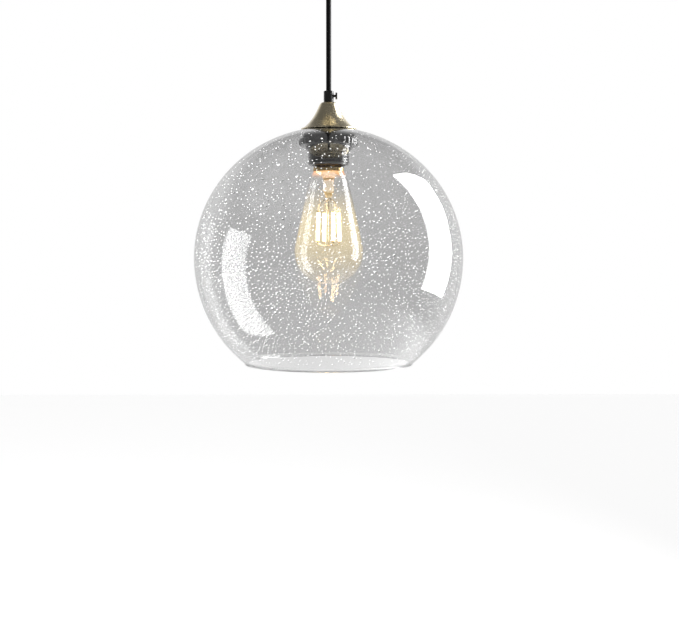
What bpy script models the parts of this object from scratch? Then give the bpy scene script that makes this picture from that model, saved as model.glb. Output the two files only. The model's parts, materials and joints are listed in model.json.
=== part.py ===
"""Pendant ceiling light: a clear glass globe that hangs from a brass cap on a black flex, with a bulb inside.

The origin is on the ceiling, at the middle of the fixing bar, and +Z points up. Lengths are in metres.
"""

import math

import bmesh
import bpy
from mathutils import Matrix, Vector

MM = 0.001
GAP = 0.3 * MM  # between pieces that touch

# Heights of the main levels. The globe's centre is where its two halves meet, at its widest.
GLOBE_DROP = 350 * MM  # from the ceiling down to the globe's centre
GLOBE_RADIUS = 125 * MM
GLOBE_TOP = 121.5 * MM  # the upper half is a little flatter than a ball
GLOBE_WALL = 2.5 * MM
GLOBE_MOUTH = 98 * MM  # from the centre down to the open rim
GLOBE_NECK_RADIUS = 20.4 * MM  # the hole that the socket passes through

# Ceiling fitting.
BAR_LENGTH = 100 * MM
BAR_WIDTH = 18 * MM
BAR_THICKNESS = 2 * MM
BAR_SLOT_CENTRE = 27 * MM
BAR_SLOT_LENGTH = 14 * MM
BAR_SLOT_WIDTH = 4.6 * MM
STUD_CENTRE = 44 * MM
STUD_RADIUS = 2 * MM
EARTH_X = 13 * MM  # where the earth screw goes into the bar
EARTH_Y = 5 * MM
CANOPY_RADIUS = 60 * MM
CANOPY_HEIGHT = 25 * MM
CANOPY_CORNER = 10 * MM
CANOPY_WALL = 1 * MM

# Flex, its grips and the hollow threaded tubes that it runs through.
CORD_RADIUS = 2.4 * MM
CORD_BORE = CORD_RADIUS + GAP
NIPPLE_RADIUS = 3.5 * MM
NIPPLE_HOLE = NIPPLE_RADIUS + GAP
GRIP_RADIUS = 4.65 * MM
GRIP_LENGTH = 9.9 * MM
GRIP_SOCKET_DEPTH = 3.5 * MM  # how far the threaded tube reaches into a grip
NUT_RADIUS = 6.2 * MM
NUT_HEIGHT = 3 * MM
FLEX_SPACING = 35 * MM  # between the two levels where the flex bends
FLEX_GAP = 1.3 * MM  # left between two lengths of flex so that their ends can tilt

# Heights above the globe's centre.
CAP_TOP = 145 * MM
CAP_SHOULDER = 142.7 * MM
CAP_RIM = 119.4 * MM
RING_TOP = 111.2 * MM
RING_FLANGE = 6.4 * MM
RING_BOTTOM = 101.1 * MM
SLEEVE_TOP = 120.7 * MM
SLEEVE_BOTTOM = 86.8 * MM
BULB_NECK = 81.2 * MM
BULB_CENTRE = 6.9 * MM

# Radii of the turned pieces.
CAP_TOP_RADIUS = 5.6 * MM
CAP_SHOULDER_RADIUS = 8.5 * MM
CAP_RIM_RADIUS = 25.8 * MM
CAP_WALL = 0.8 * MM
RING_RADIUS = 27.8 * MM
RING_HUB_RADIUS = 21.6 * MM
RING_BORE = 19.6 * MM
SLEEVE_RADIUS = 19.3 * MM
SLEEVE_BORE = 15.8 * MM
SHELL_RADIUS = 14.6 * MM
SHELL_BORE = 14 * MM
TERMINAL_RADIUS = 2.2 * MM  # of the lampholder's two terminal screws
TERMINAL_OFFSET = 9 * MM  # from the axis to each of them
BASE_RADIUS = 13.2 * MM
BASE_FLARE = 14.5 * MM
BULB_RADIUS = 32 * MM
BULB_WALL = 1 * MM
NECK_RADIUS = 14.2 * MM
STEM_RADIUS = 4.8 * MM

FILAMENT_COUNT = 4
FIRST_FILAMENT = 22.5  # degrees round from +X
FILAMENT_RADIUS = 1.4 * MM
FILAMENT_TOP = 44.5 * MM
FILAMENT_BOTTOM = 15 * MM
CAGE_TOP_RADIUS = 10.2 * MM
CAGE_BOTTOM_RADIUS = 11.2 * MM

CANOPY_GRIP_MOUTH = -(CANOPY_HEIGHT + GAP + GRIP_LENGTH)
UPPER_BEND = CANOPY_GRIP_MOUTH + 1.8 * MM
LOWER_BEND = UPPER_BEND - FLEX_SPACING

# Colour, roughness and metallic value of each material.
MATERIALS = {
    "antique_brass": ((0.30, 0.26, 0.17), 0.32, 1.0),
    "zinc_steel": ((0.55, 0.56, 0.57), 0.38, 1.0),
    "plain_brass": ((0.72, 0.52, 0.25), 0.3, 1.0),
    "black_plastic": ((0.012, 0.012, 0.013), 0.25, 0.0),
    "black_flex": ((0.01, 0.01, 0.01), 0.6, 0.0),
    "seeded_glass": ((0.8, 0.8, 0.8), 0.02, 0.0),
    "bulb_glass": ((0.95, 0.93, 0.9), 0.02, 0.0),
    "white_ceramic": ((0.82, 0.81, 0.78), 0.35, 0.0),
    "black_glass": ((0.01, 0.01, 0.02), 0.1, 0.0),
    "filament": ((1.0, 0.75, 0.4), 0.5, 0.0),
    "nickel_wire": ((0.6, 0.58, 0.55), 0.3, 1.0),
    "circuit_board": ((0.05, 0.22, 0.08), 0.5, 0.0),
    "brown_wire": ((0.16, 0.06, 0.03), 0.5, 0.0),
    "blue_wire": ((0.03, 0.12, 0.5), 0.5, 0.0),
    "green_wire": ((0.35, 0.45, 0.03), 0.5, 0.0),
}


def clear_scene():
    for old in list(bpy.data.objects):
        bpy.data.objects.remove(old)


def material(name):
    found = bpy.data.materials.get(name)
    if found:
        return found
    colour, roughness, metallic = MATERIALS[name]
    made = bpy.data.materials.new(name)
    made.use_nodes = True
    shader = made.node_tree.nodes["Principled BSDF"]
    shader.inputs["Base Color"].default_value = (*colour, 1)
    shader.inputs["Roughness"].default_value = roughness
    shader.inputs["Metallic"].default_value = metallic
    return made


def body(name, z=0.0, parent=None):
    """An empty at the level of a joint or of a group of pieces."""
    empty = bpy.data.objects.new(name, None)
    empty.location.z = z - (parent.matrix_world.translation.z if parent else 0)
    empty.parent = parent
    bpy.context.scene.collection.objects.link(empty)
    bpy.context.view_layer.update()
    return empty


def place(name, data, finish, parent, location=(0, 0, 0)):
    made = bpy.data.objects.new(name, data)
    data.materials.append(material(finish))
    made.parent = parent
    made.location = location
    bpy.context.scene.collection.objects.link(made)
    return made


def to_mesh(name, shape, sharp=35):
    bmesh.ops.recalc_face_normals(shape, faces=shape.faces)
    mesh = bpy.data.meshes.new(name)
    shape.to_mesh(mesh)
    shape.free()
    mesh.shade_smooth()
    mesh.set_sharp_from_angle(angle=math.radians(sharp))
    return mesh


def arc(centre, radius, start, end, steps):
    """Points of a round stretch of an outline, from start to end in degrees."""
    angles = [math.radians(start + (end - start) * i / steps) for i in range(steps + 1)]
    return [(centre[0] + radius * math.cos(a), centre[1] + radius * math.sin(a)) for a in angles]


def turned(name, outline, finish, parent, sides=32):
    """A solid turned about Z from (radius, height) points. An outline off the axis makes a ring."""
    shape = bmesh.new()
    points = [shape.verts.new((radius, 0, height)) for radius, height in outline]
    edges = [shape.edges.new(pair) for pair in zip(points, points[1:])]
    if outline[0][0] > 0:
        edges.append(shape.edges.new((points[-1], points[0])))
    full = {"axis": (0, 0, 1), "cent": (0, 0, 0), "angle": math.tau, "use_merge": True}
    bmesh.ops.spin(shape, geom=points + edges, steps=sides, **full)
    bmesh.ops.remove_doubles(shape, verts=shape.verts, dist=1e-6)
    return place(name, to_mesh(name, shape), finish, parent)


def ring(name, inner, outer, low, high, finish, parent, sides=32):
    outline = [(inner, high), (outer, high), (outer, low), (inner, low)]
    return turned(name, outline, finish, parent, sides)


def rod(name, radius, start, end, finish, parent, sides=16):
    """A round bar between two points."""
    start, end = Vector(start), Vector(end)
    shape = bmesh.new()
    bmesh.ops.create_cone(
        shape, segments=sides, radius1=radius, radius2=radius, depth=(end - start).length, cap_ends=True
    )
    turn = (end - start).to_track_quat("Z", "Y").to_matrix().to_4x4()
    bmesh.ops.transform(shape, verts=shape.verts, matrix=Matrix.Translation((start + end) / 2) @ turn)
    return place(name, to_mesh(name, shape), finish, parent)


def block(name, low, high, finish, parent):
    shape = bmesh.new()
    bmesh.ops.create_cube(shape, size=1)
    low, high = Vector(low), Vector(high)
    fit = Matrix.Translation((low + high) / 2) @ Matrix.Diagonal((*(high - low), 1))
    bmesh.ops.transform(shape, verts=shape.verts, matrix=fit)
    return place(name, to_mesh(name, shape), finish, parent)


def flex(name, points, radius, finish, parent, resolution=2):
    """A round cord or wire that follows the points given."""
    curve = bpy.data.curves.new(name, "CURVE")
    curve.dimensions = "3D"
    curve.bevel_depth = radius
    curve.bevel_resolution = resolution
    curve.use_fill_caps = True
    line = curve.splines.new("POLY")
    line.points.add(len(points) - 1)
    for knot, point in zip(line.points, points):
        knot.co = (*point, 1)
    return place(name, curve, finish, parent)


def smooth_route(knots, steps=4):
    """Points on a smooth curve through the knots."""
    knots = [Vector(k) for k in knots]
    padded = [2 * knots[0] - knots[1], *knots, 2 * knots[-1] - knots[-2]]
    route = []
    for before, start, end, after in zip(padded, padded[1:], padded[2:], padded[3:]):
        for step in range(steps):
            t = step / steps
            route.append(
                0.5
                * (
                    2 * start
                    + (end - before) * t
                    + (2 * before - 5 * start + 4 * end - after) * t**2
                    + (3 * start - before - 3 * end + after) * t**3
                )
            )
    return [*route, knots[-1]]


def straight_run(top, bottom, spacing=6 * CORD_RADIUS):
    """Evenly spaced points down the axis."""
    count = max(2, round((top - bottom) / spacing))
    return [(0, 0, top + (bottom - top) * i / count) for i in range(count + 1)]


def cut(target, cutter):
    """Takes the cutter's shape out of the target."""
    cutter.hide_render = True
    cutter.display_type = "WIRE"
    change = target.modifiers.new("cut", "BOOLEAN")
    change.operation = "DIFFERENCE"
    change.solver = "EXACT"
    change.object = cutter


def hex_nut(name, top, parent):
    """A six-sided nut with a round hole for the threaded tube."""
    nut = ring(name, NIPPLE_HOLE, NUT_RADIUS, top - NUT_HEIGHT, top, "zinc_steel", parent, sides=6)
    above, below = (0, 0, top + MM), (0, 0, top - NUT_HEIGHT - MM)
    cut(nut, rod(f"{name}_hole", NIPPLE_HOLE, above, below, "zinc_steel", parent, 24))
    return nut


def grip(name, screw_name, base, up, parent, flared):
    """A round cord grip on a threaded tube, with a side screw that bites on the flex. up is 1 or -1."""
    mouth = base + up * GRIP_LENGTH
    chamfer = 0.5 * MM
    flare = 3.8 * MM if flared else CORD_BORE
    flare_depth = 2.4 * MM
    shelf = base + up * GRIP_SOCKET_DEPTH
    outline = [
        (flare, mouth),
        (GRIP_RADIUS - chamfer, mouth),
        (GRIP_RADIUS, mouth - up * chamfer),
        (GRIP_RADIUS, base),
        (NIPPLE_HOLE, base),
        (NIPPLE_HOLE, shelf),
        (CORD_BORE, shelf),
    ]
    if flared:
        outline.append((CORD_BORE, mouth - up * flare_depth))
    made = turned(name, outline, "black_plastic", parent, sides=28)
    level = base + up * 0.55 * GRIP_LENGTH
    hole_radius = 1.5 * MM
    head_start = GRIP_RADIUS + 1.6 * MM
    inside, outside = (NIPPLE_RADIUS / 2, 0, level), (2 * GRIP_RADIUS, 0, level)
    cut(made, rod(f"{name}_hole", hole_radius, inside, outside, "black_plastic", parent, 12))
    grip_screw(screw_name, level, head_start, hole_radius - GAP, parent)
    return made


def grip_screw(name, level, head_start, shank_radius, parent):
    """A nylon thumb screw along +X: a thin shank and a flat round head."""
    head_radius = 3.2 * MM
    head_height = 1.7 * MM
    tip = CORD_BORE
    outline = [
        (0, 0),
        (shank_radius, 0),
        (shank_radius, head_start - tip),
        (head_radius, head_start - tip),
        (head_radius, head_start - tip + head_height),
        (0, head_start - tip + head_height),
    ]
    made = turned(name, outline, "black_plastic", parent, sides=16)
    made.rotation_euler = (0, math.radians(90), 0)
    made.location = (tip, 0, level)


def build_bar(ceiling):
    """The flat bar that is screwed to the ceiling, with a slot each side for its screws."""
    bar = block(
        "ceiling_bar",
        (-BAR_LENGTH / 2, -BAR_WIDTH / 2, -BAR_THICKNESS),
        (BAR_LENGTH / 2, BAR_WIDTH / 2, 0),
        "zinc_steel",
        ceiling,
    )
    through = ((0, 0, MM), (0, 0, -BAR_THICKNESS - MM))
    for side, word in ((-1, "left"), (1, "right")):
        half = (BAR_SLOT_LENGTH - BAR_SLOT_WIDTH) / 2
        slot = bmesh.new()
        bmesh.ops.create_cube(slot, size=1)
        fit = Matrix.Translation((side * BAR_SLOT_CENTRE, 0, -BAR_THICKNESS / 2))
        size = Matrix.Diagonal((2 * half, BAR_SLOT_WIDTH, 3 * BAR_THICKNESS, 1))
        bmesh.ops.transform(slot, verts=slot.verts, matrix=fit @ size)
        cut(bar, place(f"slot_{word}", to_mesh("slot", slot), "zinc_steel", ceiling))
        for end in (-1, 1):
            x = side * BAR_SLOT_CENTRE + end * half
            hole = rod(f"slot_end_{word}_{end}", BAR_SLOT_WIDTH / 2, *through, "zinc_steel", ceiling, 16)
            hole.location.x = x
            cut(bar, hole)
        hole = rod(f"stud_hole_{word}", STUD_RADIUS + GAP, *through, "zinc_steel", ceiling, 16)
        hole.location.x = side * STUD_CENTRE
        cut(bar, hole)
    earth_hole = rod("earth_hole", 1.8 * MM, *through, "zinc_steel", ceiling, 12)
    earth_hole.location = (EARTH_X, EARTH_Y, 0)
    cut(bar, earth_hole)


def build_canopy(ceiling):
    """The brass dish that hides the wiring, its two studs and their domed nuts."""
    bottom = -CANOPY_HEIGHT
    top = -0.5 * MM
    nut_radius = 4.6 * MM
    nut_skirt = 2.5 * MM
    stud_end = bottom - 3 * MM
    corner = (CANOPY_RADIUS - CANOPY_CORNER, bottom + CANOPY_CORNER)
    outline = [(NIPPLE_HOLE, bottom + CANOPY_WALL)]
    outline += arc(corner, CANOPY_CORNER - CANOPY_WALL, -90, 0, 4)
    outline += [(CANOPY_RADIUS - CANOPY_WALL, top), (CANOPY_RADIUS, top)]
    outline += arc(corner, CANOPY_CORNER, 0, -90, 4)
    outline.append((NIPPLE_HOLE, bottom))
    canopy = turned("canopy", outline, "antique_brass", ceiling, sides=40)
    for side, word in ((-1, "left"), (1, "right")):
        x = side * STUD_CENTRE
        above, below = (0, 0, bottom + 5 * MM), (0, 0, bottom - 5 * MM)
        hole = rod(f"canopy_hole_{word}", STUD_RADIUS + GAP, above, below, "antique_brass", ceiling, 16)
        hole.location.x = x
        cut(canopy, hole)
        ends = ((0, 0, -0.2 * MM), (0, 0, stud_end))
        stud = rod(f"canopy_stud_{word}", STUD_RADIUS, *ends, "zinc_steel", ceiling, 16)
        stud.location.x = x
        seat = bottom - GAP
        dome = arc((0, seat - nut_skirt), nut_radius, 0, -90, 4)
        profile = [
            (0, stud_end - GAP),
            (STUD_RADIUS + GAP, stud_end - GAP),
            (STUD_RADIUS + GAP, seat),
            (nut_radius, seat),
            *dome[:-1],
            (0, dome[-1][1]),
        ]
        nut = turned(f"canopy_nut_{word}", profile, "antique_brass", ceiling, sides=20)
        nut.location.x = x


def build_ceiling_wiring(ceiling):
    """Inside the canopy: the threaded tube and its nut, the terminal block, the wires and the earth screw."""
    floor = -CANOPY_HEIGHT + CANOPY_WALL
    tube_low, tube_top = -CANOPY_HEIGHT - 3 * MM, floor + 9 * MM
    ring("canopy_nipple", CORD_BORE, NIPPLE_RADIUS, tube_low, tube_top, "zinc_steel", ceiling, 24)
    hex_nut("canopy_lock_nut", floor + GAP + NUT_HEIGHT, ceiling)
    grip("canopy_cord_grip", "canopy_grip_screw", -CANOPY_HEIGHT - GAP, -1, ceiling, flared=True)
    cord_end = tube_top + 1.5 * MM
    run = straight_run(cord_end, UPPER_BEND + FLEX_GAP / 2, 4 * CORD_RADIUS)
    flex("cord_inner", run, CORD_RADIUS, "black_flex", ceiling, 3)
    block_half, block_front, block_back = 15 * MM, -34 * MM, -20 * MM
    low, high = (-block_half, block_front, floor + GAP), (block_half, block_back, floor + 11 * MM)
    block("terminal_block", low, high, "white_ceramic", ceiling)
    wire_radius = 0.9 * MM
    start = cord_end + GAP
    entry = floor + 5 * MM
    pole = 8 * MM  # from the middle of the block to its live and neutral ways
    for name, side, finish in (("wire_live", -1, "brown_wire"), ("wire_neutral", 1, "blue_wire")):
        route = [
            (side * 1.2 * MM, -0.9 * MM, start),
            (side * 1.2 * MM, -0.9 * MM, start + 1.6 * MM),
            (side * 1.6 * MM, -2.4 * MM, start + 4.6 * MM),
            (side * 3.8 * MM, -7 * MM, start + 5.4 * MM),
            (side * 7 * MM, -13 * MM, start + 2.2 * MM),
            (side * pole, block_back + 2.2 * MM, entry),
            (side * pole, block_back + GAP, entry),
        ]
        flex(f"{name}_upper", smooth_route(route), wire_radius, finish, ceiling)
    head_top = -BAR_THICKNESS - GAP
    head_bottom = head_top - 2 * MM
    head_radius, shank_radius, shank_top = 3 * MM, 1.5 * MM, -0.3 * MM
    route = [
        (0, 1.4 * MM, start),
        (0, 1.4 * MM, start + 1.6 * MM),
        (MM, 2.2 * MM, start + 5 * MM),
        (4.2 * MM, 4.2 * MM, start + 8.6 * MM),
        (EARTH_X - head_radius - 1.2 * MM, EARTH_Y, head_bottom + MM),
    ]
    flex("wire_earth_upper", smooth_route(route), wire_radius, "green_wire", ceiling)
    outline = [
        (0, shank_top),
        (shank_radius, shank_top),
        (shank_radius, head_top),
        (head_radius, head_top),
        (head_radius, head_bottom),
        (0, head_bottom),
    ]
    screw = turned("earth_screw", outline, "plain_brass", ceiling, sides=16)
    screw.location = (EARTH_X, EARTH_Y, 0)


def cap_radius(height):
    """The cap's trumpet: almost straight below its shoulder, then flaring out towards its rim."""
    t = (CAP_SHOULDER - height) / (CAP_SHOULDER - CAP_RIM)
    return CAP_SHOULDER_RADIUS + (CAP_RIM_RADIUS - CAP_SHOULDER_RADIUS) * (0.59 * t + 0.41 * t**3)


def build_cap(pendant):
    """The brass cap on the globe, its grip and threaded tube."""
    steps = 6
    tube_low = 127 * MM
    levels = [CAP_SHOULDER + (CAP_RIM - CAP_SHOULDER) * i / steps for i in range(steps + 1)]
    corner = ((CAP_TOP_RADIUS + CAP_SHOULDER_RADIUS) / 2 + 0.6 * MM, CAP_TOP - 1.1 * MM)
    outer = [(NIPPLE_HOLE, CAP_TOP), (CAP_TOP_RADIUS, CAP_TOP), corner]
    outer += [(cap_radius(level), level) for level in levels]
    inner = [(cap_radius(level) - CAP_WALL, level) for level in reversed(levels)]
    inner += [
        (corner[0] - CAP_WALL, corner[1] - CAP_WALL / 2),
        (CAP_TOP_RADIUS - CAP_WALL / 2, CAP_TOP - CAP_WALL),
        (NIPPLE_HOLE, CAP_TOP - CAP_WALL),
    ]
    turned("brass_cap", outer + inner, "antique_brass", pendant, sides=32)
    grip("cord_grip", "grip_screw", CAP_TOP + GAP, 1, pendant, flared=False)
    ring("cap_nipple", CORD_BORE, NIPPLE_RADIUS, tube_low, CAP_TOP + 3 * MM, "zinc_steel", pendant, 24)


def build_socket(pendant):
    """The lampholder: a domed cover, a threaded sleeve, the contact carrier and its metal parts."""
    cover_top = 133.8 * MM
    wall = 1.5 * MM
    low = SLEEVE_TOP + GAP
    outer = [
        (NIPPLE_HOLE, cover_top),
        (10.2 * MM, cover_top),
        (11.8 * MM, 132 * MM),
        (14.6 * MM, 128 * MM),
        (18 * MM, 124 * MM),
        (18.6 * MM, low),
    ]
    inner = [(radius - wall, height) for radius, height in reversed(outer[2:])]
    inner += [(8.8 * MM, cover_top - wall), (NIPPLE_HOLE, cover_top - wall)]
    turned("socket_cover", outer + inner, "black_plastic", pendant, sides=36)
    sheet = 0.6 * MM  # thickness of the pressed brass parts
    tag_top = cover_top - wall - GAP
    ring("earth_tag", NIPPLE_HOLE, 6.4 * MM, tag_top - sheet, tag_top, "plain_brass", pendant, 20)
    hex_nut("cap_lock_nut", tag_top - sheet - GAP, pendant)

    ring("socket_sleeve", SLEEVE_BORE, SLEEVE_RADIUS, SLEEVE_BOTTOM, SLEEVE_TOP, "black_plastic", pendant, 40)
    carrier_low, carrier_high = 113 * MM, 117 * MM
    edge = SLEEVE_BORE - GAP
    carrier = [(0, carrier_high), (edge, carrier_high), (edge, carrier_low), (0, carrier_low)]
    turned("socket_core", carrier, "white_ceramic", pendant, sides=32)
    lip, lip_bore, shell_low = carrier_low - GAP, 8 * MM, 90 * MM
    shell = [
        (lip_bore, lip),
        (SHELL_RADIUS, lip),
        (SHELL_RADIUS, shell_low),
        (SHELL_BORE, shell_low),
        (SHELL_BORE, lip - sheet),
        (lip_bore, lip - sheet),
    ]
    turned("screw_shell", shell, "plain_brass", pendant, sides=32)
    build_contact(lip, pendant)
    base = carrier_high + GAP
    head_top = base + 1.8 * MM
    head = [(0, base), (TERMINAL_RADIUS, base), (TERMINAL_RADIUS, head_top), (0, head_top)]
    for side, word in ((-1, "live"), (1, "neutral")):
        screw = turned(f"terminal_screw_{word}", head, "plain_brass", pendant, sides=14)
        screw.location.x = side * TERMINAL_OFFSET


def build_contact(top, pendant):
    """The sprung tongue that presses on the bulb's tip: flat where it is fixed, then bent down."""
    fixed_end, bend, tongue = -7 * MM, -3 * MM, 2.5 * MM
    width, thickness, fall = 5 * MM, 0.5 * MM, 0.4 * MM
    upper = [(fixed_end, top), (bend, top), (tongue, top - fall)]
    lower = [(x, z - thickness) for x, z in reversed(upper)]
    shape = bmesh.new()
    outline = [shape.verts.new((x, -width / 2, z)) for x, z in upper + lower]
    face = shape.faces.new(outline)
    raised = bmesh.ops.extrude_face_region(shape, geom=[face])
    moved = [v for v in raised["geom"] if isinstance(v, bmesh.types.BMVert)]
    bmesh.ops.translate(shape, verts=moved, vec=(0, width, 0))
    place("centre_contact", to_mesh("centre_contact", shape), "plain_brass", pendant)


def build_leads(pendant):
    """The flex's end in the lampholder and its three cores."""
    cord_end = 125.4 * MM
    top = LOWER_BEND - FLEX_GAP / 2 + GLOBE_DROP
    flex("cord_lower", straight_run(top, cord_end), CORD_RADIUS, "black_flex", pendant, 3)
    start = cord_end - GAP
    wire_radius = 0.8 * MM
    for name, side, finish in (("lead_live", -1, "brown_wire"), ("lead_neutral", 1, "blue_wire")):
        route = [
            (side * 1.3 * MM, 0, start),
            (side * 1.3 * MM, 0, start - 1.6 * MM),
            (side * 3.4 * MM, 0, 120.6 * MM),
            (side * (TERMINAL_OFFSET - TERMINAL_RADIUS - 0.4 * MM), 0, 118.5 * MM),
        ]
        flex(name, smooth_route(route), wire_radius, finish, pendant)
    route = [
        (0, 1.4 * MM, start),
        (0, 1.4 * MM, start - 1.6 * MM),
        (0, 4.5 * MM, start - 2.4 * MM),
        (0, 8 * MM, start),
        (0, 8.4 * MM, start + 3 * MM),
    ]
    flex("lead_earth", smooth_route(route), wire_radius, "green_wire", pendant)


def globe_outline():
    """The globe's wall: two half ovals, a rounded rim at the open mouth and a plain edge at the neck."""
    steps = 9

    def curve(radius, top, neck, mouth):
        upper = math.acos(neck / radius)
        lower = math.asin(mouth / radius)
        above = [upper * (1 - i / steps) for i in range(steps)]
        below = [lower * i / steps for i in range(steps + 1)]
        high = [(radius * math.cos(a), top * math.sin(a)) for a in above]
        return high + [(radius * math.cos(a), -radius * math.sin(a)) for a in below]

    straight = GLOBE_MOUTH - GLOBE_WALL / 2
    outer = curve(GLOBE_RADIUS, GLOBE_TOP, GLOBE_NECK_RADIUS, straight)
    inner = curve(GLOBE_RADIUS - GLOBE_WALL, GLOBE_TOP - GLOBE_WALL, GLOBE_NECK_RADIUS, straight)
    middle = (Vector(outer[-1]) + Vector(inner[-1])) / 2
    half = (Vector(outer[-1]) - Vector(inner[-1])).length / 2
    rim = arc(middle, half, 0, -180, 4)[1:-1]
    return outer + rim + list(reversed(inner))


def build_shade(shade, ring_body):
    """The globe, the gasket under its neck and the threaded ring that holds both up."""
    turned("glass_globe", globe_outline(), "seeded_glass", shade, sides=44)
    ring("shade_gasket", RING_BORE, 24 * MM, RING_TOP + GAP, 116.2 * MM, "black_plastic", shade, 36)
    chamfer = 0.8 * MM
    flange_low = RING_TOP - RING_FLANGE
    outline = [
        (RING_BORE, RING_TOP),
        (RING_RADIUS - chamfer, RING_TOP),
        (RING_RADIUS, RING_TOP - chamfer),
        (RING_RADIUS, flange_low + chamfer),
        (RING_RADIUS - chamfer, flange_low),
        (RING_HUB_RADIUS, flange_low),
        (RING_HUB_RADIUS, RING_BOTTOM),
        (RING_BORE, RING_BOTTOM),
    ]
    turned("shade_ring", outline, "black_plastic", ring_body, sides=40)


def bulb_radius_points(inset):
    """The envelope from its neck down to the pole: a short flare, a straight cone and a round end."""
    cone_angle = 12.4
    end = arc((0, BULB_CENTRE), BULB_RADIUS - inset, cone_angle, -90, 7)
    neck = [
        (NECK_RADIUS - inset, BULB_NECK - GAP),
        (15.4 * MM - inset, 79 * MM),
        (17.9 * MM - inset, 74.5 * MM),
    ]
    return [*neck, *end[:-1], (0, end[-1][1])]


def build_bulb(bulb):
    """The bulb: envelope, screw base with its insulator and tip, and the driver board inside the base."""
    outer = bulb_radius_points(0)
    inner = bulb_radius_points(BULB_WALL)
    turned("bulb_glass", [*reversed(inner), *outer], "bulb_glass", bulb, sides=28)
    base_top = 106 * MM
    wall = 0.6 * MM
    base = [
        (BASE_RADIUS, base_top),
        (BASE_RADIUS, BULB_NECK + 5 * MM),
        (BASE_FLARE, BULB_NECK + 2.8 * MM),
        (BASE_FLARE, BULB_NECK),
        (BASE_FLARE - wall, BULB_NECK),
        (BASE_FLARE - wall, BULB_NECK + 2.4 * MM),
        (BASE_RADIUS - wall, BULB_NECK + 4.6 * MM),
        (BASE_RADIUS - wall, base_top),
    ]
    turned("bulb_screw_base", base, "plain_brass", bulb, sides=32)
    seat, filling_top = base_top + GAP, 110 * MM
    filling = [(0, filling_top), (5.4 * MM, filling_top), (12.6 * MM, seat), (0, seat)]
    turned("bulb_insulator", filling, "black_glass", bulb, 24)
    tip, tip_radius, tip_height = filling_top + GAP, 4.6 * MM, 1.2 * MM
    dome = [
        (0, tip + tip_height),
        (tip_radius - tip_height, tip + tip_height),
        (tip_radius, tip + tip_height / 2),
        (tip_radius, tip),
        (0, tip),
    ]
    turned("bulb_tip", dome, "zinc_steel", bulb, 20)
    half_width, half_thickness = 8 * MM, 0.8 * MM
    low, high = (-half_width, -half_thickness, 86 * MM), (half_width, half_thickness, 103 * MM)
    block("bulb_driver", low, high, "circuit_board", bulb)


def build_bulb_inside(bulb):
    """The glass stem, the wires that it carries and the four upright filaments."""
    neck_free = NECK_RADIUS - BULB_WALL - GAP
    stem_low = 57 * MM
    outline = [
        (0, BULB_NECK - GAP),
        (neck_free, BULB_NECK - GAP),
        (neck_free, BULB_NECK - 1.5 * MM),
        (6.5 * MM, 76.5 * MM),
        (STEM_RADIUS, 73 * MM),
        (STEM_RADIUS, 62 * MM),
        (2.4 * MM, stem_low),
        (0, stem_low),
    ]
    turned("bulb_stem", outline, "bulb_glass", bulb, sides=24)
    wire = 0.45 * MM
    lean = CAGE_BOTTOM_RADIUS - CAGE_TOP_RADIUS
    hub = 11.5 * MM
    post = rod("bulb_post", 0.8 * MM, (0, 0, stem_low - GAP), (0, 0, hub), "nickel_wire", bulb, 12)
    for number in range(FILAMENT_COUNT):
        angle = math.radians(FIRST_FILAMENT) + math.tau * number / FILAMENT_COUNT
        outward = Vector((math.cos(angle), math.sin(angle), 0))
        top = outward * CAGE_TOP_RADIUS + Vector((0, 0, FILAMENT_TOP))
        bottom = outward * CAGE_BOTTOM_RADIUS + Vector((0, 0, FILAMENT_BOTTOM))
        rod(f"filament_{number + 1}", FILAMENT_RADIUS, top, bottom, "filament", bulb, 10)
        along = (bottom - top).normalized()
        foot = bottom + along * GAP * 2
        spoke = rod(f"spoke_{number + 1}", wire, (0, 0, hub + 0.9 * MM), foot, "nickel_wire", bulb, 8)
        spoke.hide_render = True
        spoke.display_type = "WIRE"
        join = post.modifiers.new("spoke", "BOOLEAN")
        join.operation = "UNION"
        join.solver = "EXACT"
        join.object = spoke
        start = outward * 1.7 * MM + Vector((0, 0, stem_low - GAP))
        middle = outward * (CAGE_TOP_RADIUS - lean) * 0.75 + Vector((0, 0, stem_low - 5 * MM))
        end = top - along * GAP * 2
        flex(f"lead_wire_{number + 1}", smooth_route([start, middle, end]), wire, "nickel_wire", bulb, 1)


clear_scene()
ceiling = body("ceiling")
flex_body = body("flex_body", UPPER_BEND, ceiling)
swing = body("swing", LOWER_BEND, flex_body)
pendant = body("pendant", -GLOBE_DROP, swing)
shade = body("shade", -GLOBE_DROP, pendant)
ring_body = body("ring_body", -GLOBE_DROP, shade)
bulb = body("bulb", -GLOBE_DROP, pendant)

build_bar(ceiling)
build_canopy(ceiling)
build_ceiling_wiring(ceiling)
upper_run = straight_run(-FLEX_GAP / 2, FLEX_GAP / 2 - FLEX_SPACING)
flex("cord_upper", upper_run, CORD_RADIUS, "black_flex", flex_body, 3)
build_cap(pendant)
build_socket(pendant)
build_leads(pendant)
build_shade(shade, ring_body)
build_bulb(bulb)
build_bulb_inside(bulb)
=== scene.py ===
"""Looks of a pendant ceiling light: a seeded-glass globe under a flared brass cap, with a filament bulb in a
black threaded lampholder, on a black flex from a round canopy. Lengths are in metres, +Z is up."""

import json
import math

import bmesh
import bpy
from mathutils import Matrix, Vector


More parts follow.
